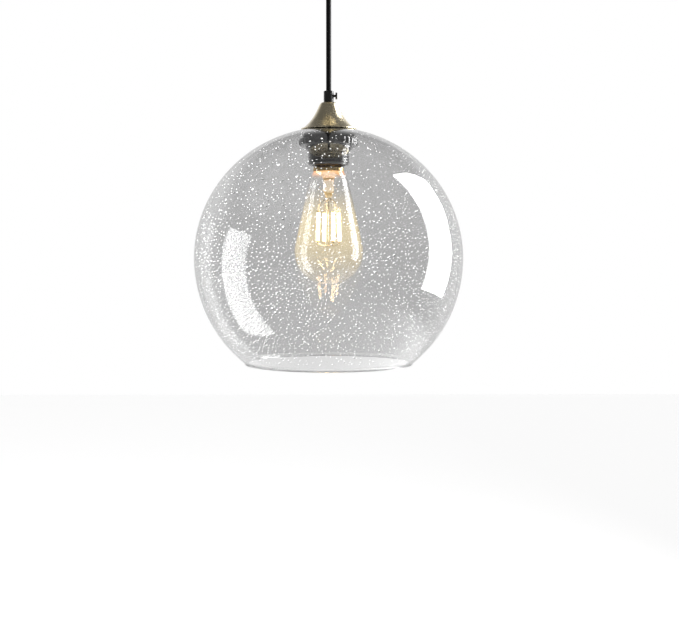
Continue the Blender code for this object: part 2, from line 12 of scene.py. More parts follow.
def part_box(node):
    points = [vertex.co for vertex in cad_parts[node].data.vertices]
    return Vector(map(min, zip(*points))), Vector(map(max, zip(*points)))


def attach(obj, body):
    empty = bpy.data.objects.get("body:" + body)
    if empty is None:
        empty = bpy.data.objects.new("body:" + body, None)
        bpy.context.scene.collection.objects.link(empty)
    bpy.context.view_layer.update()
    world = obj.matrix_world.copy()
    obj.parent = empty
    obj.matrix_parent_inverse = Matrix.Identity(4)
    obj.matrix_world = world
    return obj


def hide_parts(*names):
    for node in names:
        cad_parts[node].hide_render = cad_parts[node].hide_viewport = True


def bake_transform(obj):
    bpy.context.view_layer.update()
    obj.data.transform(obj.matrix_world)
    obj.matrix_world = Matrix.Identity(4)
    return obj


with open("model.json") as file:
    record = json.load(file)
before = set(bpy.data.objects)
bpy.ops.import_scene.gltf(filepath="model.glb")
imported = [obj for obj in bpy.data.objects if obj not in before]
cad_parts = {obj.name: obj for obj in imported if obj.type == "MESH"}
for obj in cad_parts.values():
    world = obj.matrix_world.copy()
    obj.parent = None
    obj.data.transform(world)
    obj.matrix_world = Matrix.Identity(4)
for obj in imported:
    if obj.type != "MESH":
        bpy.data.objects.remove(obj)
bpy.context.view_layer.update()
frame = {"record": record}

# ------------------------------------------------------------------------------------------------------------
# Camera. It stands about a metre in front of the lamp, level with the globe's widest part, and looks a little
# down and to the right of the globe's middle.
# ------------------------------------------------------------------------------------------------------------
globe_rim_drop = 0.09875
centre_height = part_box("glass_globe")[0][2] + globe_rim_drop
centre = Vector((0, 0, centre_height))

camera_data = bpy.data.cameras.new("camera")
camera_data.sensor_width = 36
camera_data.lens = 58.02
camera = bpy.data.objects.new("camera", camera_data)
camera.location = centre - Vector((0, 1.024, 0))
camera.rotation_euler = (math.radians(90 - 3.143), 0, math.radians(-0.56))
bpy.context.scene.collection.objects.link(camera)
bpy.context.scene.camera = camera
bpy.context.scene.view_settings.view_transform = "Standard"


# ------------------------------------------------------------------------------------------------------------
# Studio. A white wall behind the lamp, a darker room and ceiling round the camera, a pale floor well below, one
# window-like light panel on the right and a faint narrow strip lamp on the left.
# ------------------------------------------------------------------------------------------------------------
class Field:
    """A value between nodes. Its operators add Math nodes to the tree that it belongs to."""

    def __init__(self, nodes, socket):
        self.nodes = nodes
        self.socket = socket

    def maths(self, operation, *values):
        return self.nodes.node("ShaderNodeMath", {"operation": operation}, dict(enumerate(values)))

    def __add__(self, other):
        return self.maths("ADD", self, other)

    def __sub__(self, other):
        return self.maths("SUBTRACT", self, other)

    def __rsub__(self, other):
        return self.maths("SUBTRACT", other, self)

    def __mul__(self, other):
        return self.maths("MULTIPLY", self, other)

    def __truediv__(self, other):
        return self.maths("DIVIDE", self, other)

    def __rtruediv__(self, other):
        return self.maths("DIVIDE", other, self)

    def __pow__(self, other):
        return self.maths("POWER", self, other)

    def __gt__(self, other):
        return self.maths("GREATER_THAN", self, other)

    def fraction(self):
        return self.maths("FRACT", self)

    __radd__ = __add__
    __rmul__ = __mul__


class Nodes:
    """A node tree under construction."""

    def __init__(self, tree):
        self.tree = tree

    def node(self, kind, settings=None, inputs=None, out=0):
        made = self.tree.nodes.new(kind)
        for key, value in (settings or {}).items():
            setattr(made, key, value)
        for key, value in (inputs or {}).items():
            self.feed(made.inputs[key], value)
        return Field(self, made.outputs[out])

    def feed(self, socket, value):
        if isinstance(value, Field):
            self.tree.links.new(value.socket, socket)
        elif socket.type == "RGBA":
            socket.default_value = (*value, 1)
        else:
            socket.default_value = value

    def between(self, value, low, high, to_low=0.0, to_high=1.0):
        """A smooth step from one level to another as the value goes from low to high."""
        sizes = {"Value": value, "From Min": low, "From Max": high, "To Min": to_low, "To Max": to_high}
        return self.node("ShaderNodeMapRange", {"interpolation_type": "SMOOTHSTEP"}, sizes)

    def split(self, vector):
        made = self.node("ShaderNodeSeparateXYZ", inputs={0: vector})
        return [Field(self, output) for output in made.socket.node.outputs]

    def joined(self, x, y, z):
        return self.node("ShaderNodeCombineXYZ", inputs={0: x, 1: y, 2: z})


class Finish(Nodes):
    """A material under construction: one Principled shader and the patterns that feed it."""

    def __init__(self, name, constants=None):
        self.material = bpy.data.materials.new(name)
        self.material.use_nodes = True
        super().__init__(self.material.node_tree)
        self.shader = self.tree.nodes["Principled BSDF"]
        self.set(constants or {})
        self.place = self.node("ShaderNodeTexCoord", out="Object")

    def set(self, values):
        for socket, value in values.items():
            self.feed(self.shader.inputs[socket], value)
        return self.material

    def noise(self, scale, detail=4.0, roughness=0.5, at=None):
        sizes = {"Vector": at or self.place, "Scale": scale, "Detail": detail, "Roughness": roughness}
        return self.node("ShaderNodeTexNoise", inputs=sizes)

    def stretched(self, scale, location=(0, 0, 0), at=None):
        sizes = {"Vector": at or self.place, "Location": location, "Scale": scale}
        return self.node("ShaderNodeMapping", inputs=sizes)

    def around(self):
        """Places on a turned piece: the distance from the lamp's axis, the angle in turns and the height."""
        x, y, z = self.split(self.place)
        radius = (x * x + y * y) ** 0.5
        angle = self.node("ShaderNodeMath", {"operation": "ARCTAN2"}, {0: y, 1: x}) / math.tau
        return radius, angle, z

    def mix(self, factor, first, second):
        return self.node("ShaderNodeMix", {"data_type": "RGBA"}, {0: factor, 6: first, 7: second}, out=2)

    def bump(self, height, distance, over=None):
        sizes = {"Height": height, "Distance": distance}
        if over:
            sizes["Normal"] = over
        return self.node("ShaderNodeBump", inputs=sizes)


def studio_surround():
    """Light from all round: full from the wall behind the lamp, much less from the ceiling and the room in front."""
    world = bpy.data.worlds.new("studio")
    world.use_nodes = True
    nodes = Nodes(world.node_tree)
    _, back, up = nodes.split(nodes.node("ShaderNodeTexCoord", out="Generated"))
    behind = nodes.between(back, 0.05, 0.55)
    below_ceiling = nodes.between(up, 0.35, 0.7, 1.0, 0.0)
    background = world.node_tree.nodes["Background"]
    background.inputs["Color"].default_value = (1, 1, 1, 1)
    nodes.feed(background.inputs["Strength"], behind * below_ceiling * 0.82 + 0.18)
    bpy.context.scene.world = world


def floor_paper():
    """Matt white paper with a faint grain, and painted light from the wall behind: it glows, brighter towards the back.
    """
    finish = Finish("floor_paper", {"Roughness": 0.9, "Emission Strength": 1.0})
    grain = finish.noise(400, detail=3)
    # Painted light: the floor's emission is faint in front of the lamp and brighter towards the back.
    lit = finish.between(finish.split(finish.place)[1], -0.2, 1.2)
    return finish.set({
        "Base Color": finish.mix(grain, (0.86, 0.86, 0.86), (0.92, 0.92, 0.92)),
        "Emission Color": finish.mix(lit, (0.12, 0.12, 0.12), (0.7, 0.7, 0.7)),
    })


def light_panel(name, azimuth, elevation, distance, corners, strength):
    """A glowing panel that faces the globe. Azimuth 0 is the camera's side and 90 is its right. The corners are
    across and up from the panel's middle."""
    turn, rise = math.radians(azimuth), math.radians(elevation)
    away = Vector((math.sin(turn) * math.cos(rise), -math.cos(turn) * math.cos(rise), math.sin(rise)))
    across = Vector((math.cos(turn), math.sin(turn), 0))
    up = away.cross(across)
    up *= 1 if up.z > 0 else -1
    points = [centre + away * distance + across * x + up * y for x, y in corners]
    mesh = bpy.data.meshes.new(name)
    mesh.from_pydata(points, [], [range(len(points))])
    if mesh.polygons[0].normal.dot(away) > 0:
        mesh.flip_normals()
    glow = bpy.data.materials.new(name)
    glow.use_nodes = True
    nodes = Nodes(glow.node_tree)
    light = nodes.node("ShaderNodeEmission", inputs={"Color": (1, 1, 1), "Strength": strength})
    front = nodes.node("ShaderNodeNewGeometry", out="Backfacing")
    dark = nodes.node("ShaderNodeBsdfTransparent")
    both = nodes.node("ShaderNodeMixShader", inputs={0: front, 1: light, 2: dark})
    nodes.feed(glow.node_tree.nodes["Material Output"].inputs["Surface"], both)
    mesh.materials.append(glow)
    panel = bpy.data.objects.new(name, mesh)
    bpy.context.scene.collection.objects.link(panel)


studio_surround()
floor_drop = 0.75
floor_size = 5
floor_corners = [(x * floor_size, y * floor_size, centre_height - floor_drop)
                 for x, y in ((-1, -1), (1, -1), (1, 1), (-1, 1))]
floor_mesh = bpy.data.meshes.new("floor")
floor_mesh.from_pydata(floor_corners, [], [(0, 1, 2, 3)])
floor_mesh.materials.append(floor_paper())
floor = bpy.data.objects.new("floor", floor_mesh)
bpy.context.scene.collection.objects.link(floor)
window_corners = [(-0.35, -0.6), (0.34, -0.58), (0.4, -0.2), (0.45, 0.05), (0.7, 0.54), (0.38, 0.81), (0.02, 1.05)]
light_panel("window_right", 100, 10, 1.1, window_corners, 14.0)
light_panel("strip_left", -15, 10, 1.6, [(-0.1, -0.8), (0.1, -0.8), (0.1, 0.8), (-0.1, 0.8)], 0.55)


# ------------------------------------------------------------------------------------------------------------
# Ceiling bar. A zinc-plated steel strip, punched with a slot each side for the ceiling screws, a hole at each
# end for a threaded stud that holds the canopy, and a tapped hole for the earth screw.
# ------------------------------------------------------------------------------------------------------------
def add_piece(name, mesh, body, replaced=(), at=(0, 0, 0), sharp=35):
    """Puts a finished mesh in the scene on its CAD body, in place of the CAD nodes named."""
    mesh.transform(Matrix.Translation(at))
    mesh.shade_smooth()
    mesh.set_sharp_from_angle(angle=math.radians(sharp))
    piece = bpy.data.objects.new(name, mesh)
    bpy.context.scene.collection.objects.link(piece)
    if body:
        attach(piece, body)
    if replaced:
        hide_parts(*replaced)
    return piece


def plain_mesh(data, finish):
    """A curve as a mesh with its finish."""
    holder = bpy.data.objects.new(data.name, data)
    bpy.context.scene.collection.objects.link(holder)
    bpy.context.view_layer.update()
    mesh = bpy.data.meshes.new_from_object(holder.evaluated_get(bpy.context.evaluated_depsgraph_get()))
    bpy.data.objects.remove(holder)
    mesh.materials.clear()
    mesh.materials.append(finish)
    return mesh


def round_outline(length, width, corner, steps=6):
    """A rectangle with round corners about the origin, or a slot where the corner is half the width."""
    points = []
    for x, y, first in ((1, 1, 0), (-1, 1, 90), (-1, -1, 180), (1, -1, 270)):
        middle = Vector((x * (length / 2 - corner), y * (width / 2 - corner)))
        for step in range(steps + 1):
            angle = math.radians(first + 90 * step / steps)
            points.append(middle + corner * Vector((math.cos(angle), math.sin(angle))))
    return points


def plate(name, outlines, thickness, edge, finish):
    """A flat sheet: the first outline, with the others cut through it, and its edges eased."""
    curve = bpy.data.curves.new(name, "CURVE")
    curve.dimensions = "2D"
    curve.fill_mode = "BOTH"
    curve.extrude = thickness / 2 - edge
    curve.bevel_depth = edge
    curve.bevel_resolution = 2
    curve.offset = -edge
    for outline in outlines:
        line = curve.splines.new("POLY")
        line.points.add(len(outline) - 1)
        line.use_cyclic_u = True
        for knot, point in zip(line.points, outline):
            knot.co = (*point, 0, 1)
    mesh = plain_mesh(curve, finish)
    shape = bmesh.new()
    shape.from_mesh(mesh)
    bmesh.ops.remove_doubles(shape, verts=shape.verts, dist=1e-6)
    bmesh.ops.recalc_face_normals(shape, faces=shape.faces)
    shape.to_mesh(mesh)
    shape.free()
    return mesh


def shifted(outline, x, y=0.0):
    return [point + Vector((x, y)) for point in outline]


def zinc_plate():
    """Zinc-plated steel: bluish grey, cloudy, with rolling marks along its length."""
    finish = Finish("zinc_plate", {"Metallic": 1.0})
    cloud = finish.noise(140, detail=6)
    marks = finish.noise(300, detail=5, at=finish.stretched((0.08, 1.5, 1.5)))
    colour = finish.mix(cloud, (0.42, 0.43, 0.45), (0.66, 0.67, 0.68))
    return finish.set({
        "Base Color": colour,
        "Roughness": finish.between(marks, 0.3, 0.7, 0.28, 0.48),
        "Normal": finish.bump(marks, 0.00005),
    })


zinc = zinc_plate()
bar_low, bar_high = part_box("ceiling_bar")
bar_length, bar_width, bar_thickness = (high - low for low, high in zip(bar_low, bar_high))
stud_centre = 0.044
bar_slot = round_outline(0.014, 0.0046, 0.00229)
stud_hole = round_outline(0.0046, 0.0046, 0.00229)
bar_outlines = [round_outline(bar_length, bar_width, 0.002)]
bar_outlines += [shifted(bar_slot, side * 0.027) for side in (-1, 1)]
bar_outlines += [shifted(stud_hole, side * stud_centre) for side in (-1, 1)]
bar_outlines.append(shifted(round_outline(0.0036, 0.0036, 0.00179), 0.013, 0.005))
bar_mesh = plate("ceiling_bar_plate", bar_outlines, bar_thickness, 0.0002, zinc)
add_piece("ceiling_bar_plate", bar_mesh, "ceiling", ["ceiling_bar"], (0, 0, -bar_thickness / 2))


# ------------------------------------------------------------------------------------------------------------
# Studs. Two zinc-plated screws, metric 4 by 0.7, that hang from the bar and pass through the canopy.
# ------------------------------------------------------------------------------------------------------------
def eased(outline, steps=4):
    """The (radius, height) points of an outline, where a third number is the easing of a corner."""
    points = []
    last = len(outline) - 1
    for number, (radius, height, *easing) in enumerate(outline):
        corner = Vector((radius, height))
        if not easing or number in (0, last):
            points.append(corner)
            continue
        before = Vector(outline[number - 1][:2]) - corner
        after = Vector(outline[number + 1][:2]) - corner
        cut = min(easing[0], 0.49 * before.length, 0.49 * after.length)
        start, end = corner + before.normalized() * cut, corner + after.normalized() * cut
        for step in range(steps + 1):
            t = step / steps
            points.append(start * (1 - t) ** 2 + corner * 2 * t * (1 - t) + end * t**2)
    return points


def turned(name, outline, finish, sides=96, closed=True):
    """A shape turned about Z. An outline that starts on the axis is solid, any other is a ring, or a bare skin where
    it isn't closed."""
    shape = bmesh.new()
    points = [shape.verts.new((radius, 0, height)) for radius, height in eased(outline)]
    edges = [shape.edges.new(pair) for pair in zip(points, points[1:])]
    if closed and outline[0][0] > 0:
        edges.append(shape.edges.new((points[-1], points[0])))
    bmesh.ops.spin(
        shape, geom=points + edges, axis=(0, 0, 1), cent=(0, 0, 0), angle=math.tau, steps=sides, use_merge=True
    )
    bmesh.ops.remove_doubles(shape, verts=shape.verts, dist=1e-7)
    bmesh.ops.recalc_face_normals(shape, faces=shape.faces)
    mesh = bpy.data.meshes.new(name)
    shape.to_mesh(mesh)
    shape.free()
    mesh.materials.append(finish)
    return mesh


def wall(radius, low, high, pitch, rows=8):
    """Outline points up a straight wall, close enough together to carry a thread of this pitch."""
    count = max(1, round((high - low) / pitch * rows))
    return [(radius, low + (high - low) * i / count) for i in range(count + 1)]


class ShapeTree(Nodes):
    """A Geometry Nodes tree under construction, with named inputs."""

    def __init__(self, name, sizes):
        super().__init__(bpy.data.node_groups.new(name, "GeometryNodeTree"))
        kinds = {"Geometry": "NodeSocketGeometry", "Finish": "NodeSocketMaterial"}
        for size in ("Geometry", *sizes, "Finish"):
            kind = kinds.get(size, "NodeSocketInt" if size in ("Seed", "Count", "Roundness") else "NodeSocketFloat")
            self.tree.interface.new_socket(size, in_out="INPUT", socket_type=kind)
        self.tree.interface.new_socket("Geometry", in_out="OUTPUT", socket_type="NodeSocketGeometry")
        given = self.tree.nodes.new("NodeGroupInput")
        self.given = {socket.name: Field(self, socket) for socket in given.outputs if socket.name}

    def finish(self, geometry):
        """Ends the tree: the copies become plain mesh and take the finish."""
        real = self.node("GeometryNodeRealizeInstances", inputs={0: geometry})
        painted = self.node("GeometryNodeSetMaterial", inputs={"Geometry": real, "Material": self.given["Finish"]})
        out = self.tree.nodes.new("NodeGroupOutput")
        self.feed(out.inputs[0], painted)
        return self.tree


def shaped(mesh, tree, sizes):
    """The plain mesh that a Geometry Nodes tree makes of a mesh."""
    holder = bpy.data.objects.new(mesh.name, mesh)
    bpy.context.scene.collection.objects.link(holder)
    change = holder.modifiers.new("shape", "NODES")
    change.node_group = tree
    sockets = {item.name: item.identifier for item in tree.interface.items_tree if item.in_out == "INPUT"}
    for name, value in {"Finish": mesh.materials[0], **sizes}.items():
        change[sockets[name]] = value
    bpy.context.view_layer.update()
    made = bpy.data.meshes.new_from_object(holder.evaluated_get(bpy.context.evaluated_depsgraph_get()))
    holder.modifiers.remove(change)
    bpy.data.objects.remove(holder)
    return made


def thread_tree():
    """Winds a screw thread into the walls of a turned piece that lie inside a range of radii and heights."""
    sizes = ("Pitch", "Depth", "Sharpness", "Low", "High", "Run Out", "Inner Radius", "Outer Radius")
    tree = ShapeTree("thread", sizes)
    given = tree.given
    x, y, z = tree.split(tree.node("GeometryNodeInputPosition"))
    radius = (x * x + y * y) ** 0.5
    angle = tree.node("ShaderNodeMath", {"operation": "ARCTAN2"}, {0: y, 1: x}) / math.tau
    phase = (z / given["Pitch"] - angle + 100).fraction()
    wave = phase.maths("COSINE", phase * math.tau) * 0.5 + 0.5
    crest = wave ** given["Sharpness"]
    started = tree.between(z, given["Low"], given["Low"] + given["Run Out"])
    ended = tree.between(z, given["High"] - given["Run Out"], given["High"], 1.0, 0.0)
    outside = (radius > given["Inner Radius"]) * (given["Outer Radius"] > radius)
    push = crest * started * ended * outside * given["Depth"] / radius
    offset = tree.joined(x * push, y * push, 0.0)
    moved = tree.node("GeometryNodeSetPosition", inputs={"Geometry": given["Geometry"], "Offset": offset})
    return tree.finish(moved)


thread = thread_tree()


def threaded(mesh, pitch, depth, low, high, inner, outer, sharpness=1.0, run_out=None):
    sizes = {"Pitch": pitch, "Depth": depth, "Sharpness": sharpness, "Low": low, "High": high,
             "Run Out": pitch if run_out is None else run_out, "Inner Radius": inner, "Outer Radius": outer}
    return shaped(mesh, thread, sizes)


stud_radius = 0.002
stud_low, stud_high = (corner[2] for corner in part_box("canopy_stud_left"))
for side, word in ((-1, "left"), (1, "right")):
    stud_outline = [(0, stud_high), (stud_radius - 0.0003, stud_high)]
    stud_outline += reversed(wall(stud_radius - 0.0004, stud_low + 0.0004, stud_high - 0.0003, 0.0007, 6))
    stud_outline += [(stud_radius - 0.0007, stud_low), (0, stud_low)]
    stud = turned(f"stud_{word}", stud_outline, zinc, 32)
    stud = threaded(stud, 0.0007, 0.0004, stud_low, stud_high, stud_radius * 0.7, stud_radius)
    add_piece(f"stud_{word}", stud, "ceiling", [f"canopy_stud_{word}"], (side * stud_centre, 0, 0))


# ------------------------------------------------------------------------------------------------------------
# Canopy and its nuts. A dish spun from brass sheet and darkened to an antique finish, with its lip turned over,
# and two small domed nuts in the same finish.
# ------------------------------------------------------------------------------------------------------------
def antique_brass():
    """Brass under a brown patina: cloudy, rubbed lighter in places, with fine rings from the spinning lathe."""
    finish = Finish("antique_brass_patina", {"Metallic": 1.0, "Coat Weight": 0.25, "Coat Roughness": 0.12})
    radius, angle, height = finish.around()
    rings = finish.noise(2500, detail=3, at=finish.joined(radius, 0.0, height))
    cloud = finish.noise(55, detail=8, roughness=0.62)
    specks = finish.noise(900, detail=3)
    rubbed = finish.mix(finish.between(cloud, 0.35, 0.68), (0.60, 0.53, 0.375), (0.80, 0.71, 0.52))
    colour = finish.mix(finish.between(specks, 0.64, 0.74, 0, 0.7), rubbed, (0.25, 0.2, 0.125))
    return finish.set({
        "Base Color": colour,
        "Roughness": finish.between(cloud, 0.3, 0.7, 0.26, 0.18) + rings * 0.08,
        "Normal": finish.bump(rings, 0.00006),
    })


def drilled(mesh, places, radius):
    """The mesh with upright holes through it."""
    holder = bpy.data.objects.new(mesh.name, mesh)
    bpy.context.scene.collection.objects.link(holder)
    drills = bmesh.new()
    for x, y, z in places:
        at = Matrix.Translation((x, y, z))
        bmesh.ops.create_cone(drills, segments=32, radius1=radius, radius2=radius, depth=0.01, cap_ends=True, matrix=at)
    drill_mesh = bpy.data.meshes.new("drill")
    drills.to_mesh(drill_mesh)
    drills.free()
    drill = bpy.data.objects.new("drill", drill_mesh)
    bpy.context.scene.collection.objects.link(drill)
    change = holder.modifiers.new("hole", "BOOLEAN")
    change.object = drill
    change.solver = "EXACT"
    bpy.context.view_layer.update()
    made = bpy.data.meshes.new_from_object(holder.evaluated_get(bpy.context.evaluated_depsgraph_get()))
    bpy.data.objects.remove(holder)
    bpy.data.objects.remove(drill)
    return made


patina = antique_brass()
canopy_low, canopy_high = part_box("canopy")
canopy_radius = canopy_high[0]
canopy_floor, canopy_top = canopy_low[2], canopy_high[2]
canopy_wall = 0.001
canopy_corner = 0.01
tube_hole = 0.0038
lip = 0.0006


def quarter(centre_point, radius, start, end, steps=12):
    """Points of a round stretch of an outline, from start to end in degrees."""
    angles = [math.radians(start + (end - start) * i / steps) for i in range(steps + 1)]
    return [(centre_point[0] + radius * math.cos(a), centre_point[1] + radius * math.sin(a)) for a in angles]


corner_at = (canopy_radius - canopy_corner, canopy_floor + canopy_corner)
canopy_outline = [(tube_hole, canopy_floor + canopy_wall), (0.03, canopy_floor + canopy_wall)]
canopy_outline += quarter(corner_at, canopy_corner - canopy_wall, -90, 0)
canopy_outline += [(canopy_radius - canopy_wall, canopy_top - 0.0035), (canopy_radius - canopy_wall - lip, canopy_top - 0.002, lip),
                   (canopy_radius - canopy_wall - lip, canopy_top, lip), (canopy_radius, canopy_top, lip)]
canopy_outline += quarter(corner_at, canopy_corner, 0, -90)
canopy_outline += [(0.03, canopy_floor), (0.0095, canopy_floor, 0.0004), (0.0088, canopy_floor + 0.0002, 0.0003),
                   (tube_hole, canopy_floor + 0.0002)]
canopy_mesh = drilled(turned("canopy_dish", canopy_outline, patina, 160),
                      [(side * stud_centre, 0, canopy_floor) for side in (-1, 1)], stud_radius + 0.0003)
add_piece("canopy_dish", canopy_mesh, "ceiling", ["canopy"])

nut_radius = 0.0046
nut_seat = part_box("canopy_nut_left")[1][2]
nut_bore = 0.0023
nut_outline = [(0, stud_low - 0.0003), (nut_bore, stud_low - 0.0003), (nut_bore, nut_seat),
               (nut_radius - 0.0003, nut_seat), (nut_radius, nut_seat - 0.0003), (nut_radius, nut_seat - 0.0017, 0.0002),
               (nut_radius - 0.0004, nut_seat - 0.0019, 0.0002)]
nut_outline += quarter((0, nut_seat - 0.0025), nut_radius - 0.0004, -4, -90)[:-1]
nut_outline.append((0, nut_seat - 0.0025 - nut_radius + 0.0004))
for side, word in ((-1, "left"), (1, "right")):
    nut = turned(f"domed_nut_{word}", nut_outline, patina, 64)
    add_piece(f"domed_nut_{word}", nut, "ceiling", [f"canopy_nut_{word}"], (side * stud_centre, 0, 0))


# ------------------------------------------------------------------------------------------------------------
# Threaded tubes and their nuts. Zinc-plated steel tubes, 8 by 1, that carry the flex through the canopy and
# through the cap, each held by a chamfered six-sided nut.
# ------------------------------------------------------------------------------------------------------------
tube_radius = 0.0035
flex_bore = 0.0027
for node, body in (("canopy_nipple", "ceiling"), ("cap_nipple", "pendant")):
    low, high = (corner[2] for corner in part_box(node))
    tube_outline = [(flex_bore, high), (tube_radius - 0.0008, high)]
    tube_outline += reversed(wall(tube_radius - 0.0005, low + 0.0005, high - 0.0005, 0.001, 6))
    tube_outline += [(tube_radius - 0.0008, low), (flex_bore, low)]
    tube = turned(f"{node}_tube", tube_outline, zinc, 48)
    tube = threaded(tube, 0.001, 0.0005, low, high, 0.0029, 0.0036, run_out=0.0006)
    add_piece(f"{node}_tube", tube, body, [node])


def six_sided_nut(name, low, high, corner_radius, bore, finish, sides=72):
    """A nut whose corners are chamfered by a cone at both ends."""
    shape = bmesh.new()
    drop = 0.12 * corner_radius
    levels = [(low, 0.87), (low + drop * 0.5, 0.95), (low + drop, 1.0), (high - drop, 1.0), (high - drop * 0.5, 0.95),
              (high, 0.87)]
    rows = []
    for height, most in levels:
        row = []
        for number in range(sides):
            angle = math.tau * number / sides
            flat = math.cos(math.pi / 6) / math.cos((angle + math.pi / 6) % (math.pi / 3) - math.pi / 6)
            radius = corner_radius * min(flat, most)
            row.append(shape.verts.new((radius * math.cos(angle), radius * math.sin(angle), height)))
        rows.append(row)
    for height in (high, low):
        rows.append([shape.verts.new((bore * math.cos(math.tau * n / sides), bore * math.sin(math.tau * n / sides), height))
                     for n in range(sides)])
    for lower, upper in zip(rows, rows[1:] + rows[:1]):
        for number in range(sides):
            after = (number + 1) % sides
            shape.faces.new((lower[number], lower[after], upper[after], upper[number]))
    bmesh.ops.recalc_face_normals(shape, faces=shape.faces)
    mesh = bpy.data.meshes.new(name)
    shape.to_mesh(mesh)
    shape.free()
    mesh.materials.append(finish)
    return mesh


for node, body in (("canopy_lock_nut", "ceiling"), ("cap_lock_nut", "pendant")):
    low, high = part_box(node)
    nut = six_sided_nut(f"{node}_hex", low[2], high[2], high[0], tube_hole, zinc)
    add_piece(f"{node}_hex", nut, body, [node])


# ------------------------------------------------------------------------------------------------------------
# Terminal block and earth screw. A glazed ceramic block with two brass clamping screws from below and wire
# entries in its back, and a brass cheese-head screw in the bar for the earth wire.
# ------------------------------------------------------------------------------------------------------------
def glazed_ceramic():
    """Off-white porcelain under a thin glaze, with a few dark specks."""
    finish = Finish("glazed_ceramic", {"Coat Weight": 0.6, "Coat Roughness": 0.08, "IOR": 1.52})
    swell = finish.noise(90, detail=3)
    specks = finish.noise(1400, detail=2)
    white = finish.mix(swell, (0.78, 0.76, 0.71), (0.86, 0.85, 0.81))
    return finish.set({
        "Base Color": finish.mix(finish.between(specks, 0.72, 0.78, 0, 0.8), white, (0.35, 0.30, 0.24)),
        "Roughness": finish.between(swell, 0.3, 0.7, 0.28, 0.4),
        "Normal": finish.bump(swell, 0.0001),
    })


def bright_brass():
    """Plain rolled brass with fine scratches and a little tarnish."""
    finish = Finish("bright_brass", {"Metallic": 1.0})
    tarnish = finish.noise(120, detail=6)
    scratches = finish.noise(700, detail=4, at=finish.stretched((1, 1, 9)))
    return finish.set({
        "Base Color": finish.mix(finish.between(tarnish, 0.35, 0.75), (0.80, 0.60, 0.30), (0.52, 0.35, 0.16)),
        "Roughness": finish.between(scratches, 0.3, 0.7, 0.2, 0.36),
        "Normal": finish.bump(scratches, 0.00004),
    })


def joined_mesh(name, meshes):
    """Several meshes as one, keeping their finishes."""
    shape = bmesh.new()
    finishes = []
    for mesh in meshes:
        finish = mesh.materials[0]
        if finish not in finishes:
            finishes.append(finish)
        seen = len(shape.faces)
        shape.from_mesh(mesh)
        shape.faces.ensure_lookup_table()
        for face in shape.faces[seen:]:
            face.material_index = finishes.index(finish)
        bpy.data.meshes.remove(mesh)
    made = bpy.data.meshes.new(name)
    shape.to_mesh(made)
    shape.free()
    for finish in finishes:
        made.materials.append(finish)
    return made


def moved(mesh, *matrices):
    for matrix in matrices:
        mesh.transform(matrix)
    return mesh


def slotted_head(name, radius, height, finish, slot_width, shank=0.0, shank_length=0.0):
    """A cheese-head screw on +Z, its slot cut across X, with a plain shank below."""
    outline = [(0, height), (radius, height, radius * 0.14), (radius, 0)]
    outline += [(shank, 0), (shank, -shank_length), (0, -shank_length)] if shank else [(0, 0)]
    head = turned(name, outline, finish, 40)
    holder = bpy.data.objects.new(name, head)
    bpy.context.scene.collection.objects.link(holder)
    shape = bmesh.new()
    fit = Matrix.Translation((0, 0, height)) @ Matrix.Diagonal((4 * radius, slot_width, height * 0.9, 1))
    bmesh.ops.create_cube(shape, size=1, matrix=fit)
    cutter_mesh = bpy.data.meshes.new("screw_slot")
    shape.to_mesh(cutter_mesh)
    shape.free()
    cutter = bpy.data.objects.new("screw_slot", cutter_mesh)
    bpy.context.scene.collection.objects.link(cutter)
    change = holder.modifiers.new("slot", "BOOLEAN")
    change.object = cutter
    change.solver = "EXACT"
    bpy.context.view_layer.update()
    made = bpy.data.meshes.new_from_object(holder.evaluated_get(bpy.context.evaluated_depsgraph_get()))
    bpy.data.objects.remove(holder)
    bpy.data.objects.remove(cutter)
    return made


ceramic = glazed_ceramic()
brass = bright_brass()
block_low, block_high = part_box("terminal_block")
block_size = [high - low for low, high in zip(block_low, block_high)]
block_middle = [(low + high) / 2 for low, high in zip(block_low, block_high)]
entry_hole = round_outline(0.0034, 0.0034, 0.00169)
# The block is made as a plate seen along Y, so that its wire entries run from front to back.
block_outlines = [round_outline(block_size[0], block_size[2], 0.0018)]
block_outlines += [shifted(entry_hole, side * 0.008, -0.0005) for side in (-1, 1)]
block_mesh = moved(plate("terminal_block_body", block_outlines, block_size[1], 0.0004, ceramic),
                   Matrix.Rotation(math.radians(90), 4, "X"), Matrix.Translation(block_middle))
clamps = []
for side in (-1, 1):
    for y in (-0.0035, 0.0035):
        screw = slotted_head("clamp", 0.0019, 0.0011, brass, 0.0006)
        clamps.append(moved(screw, Matrix.Translation((block_middle[0] + side * 0.008, block_middle[1] + y, block_high[2] - 0.0004))))
add_piece("terminal_block_glazed", joined_mesh("terminal_block_glazed", [block_mesh, *clamps]), "ceiling",
          ["terminal_block"])

earth_low, earth_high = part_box("earth_screw")
earth_at = ((earth_low[0] + earth_high[0]) / 2, (earth_low[1] + earth_high[1]) / 2)
earth_head = 0.002
earth = slotted_head("earth_screw_head", 0.003, earth_head, brass, 0.0008, 0.0015, 0.002)
moved(earth, Matrix.Rotation(math.pi, 4, "X"), Matrix.Translation((*earth_at, earth_low[2] + earth_head)))
add_piece("earth_screw_head", earth, "ceiling", ["earth_screw"])

# ------------------------------------------------------------------------------------------------------------
# Flex. A round black sheathed mains cord, held straight by the lamp's weight between the canopy's grip and the
# cap's grip. It bends just under the canopy, where the lamp swings.
# ------------------------------------------------------------------------------------------------------------
flex_diameter = 0.0048
inner_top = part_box("cord_inner")[1][2]
upper_bend, lower_bend = (joint["pos_m"][2] for joint in frame["record"]["behaviour"]["joints"][:2])
lower_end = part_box("cord_lower")[0][2]


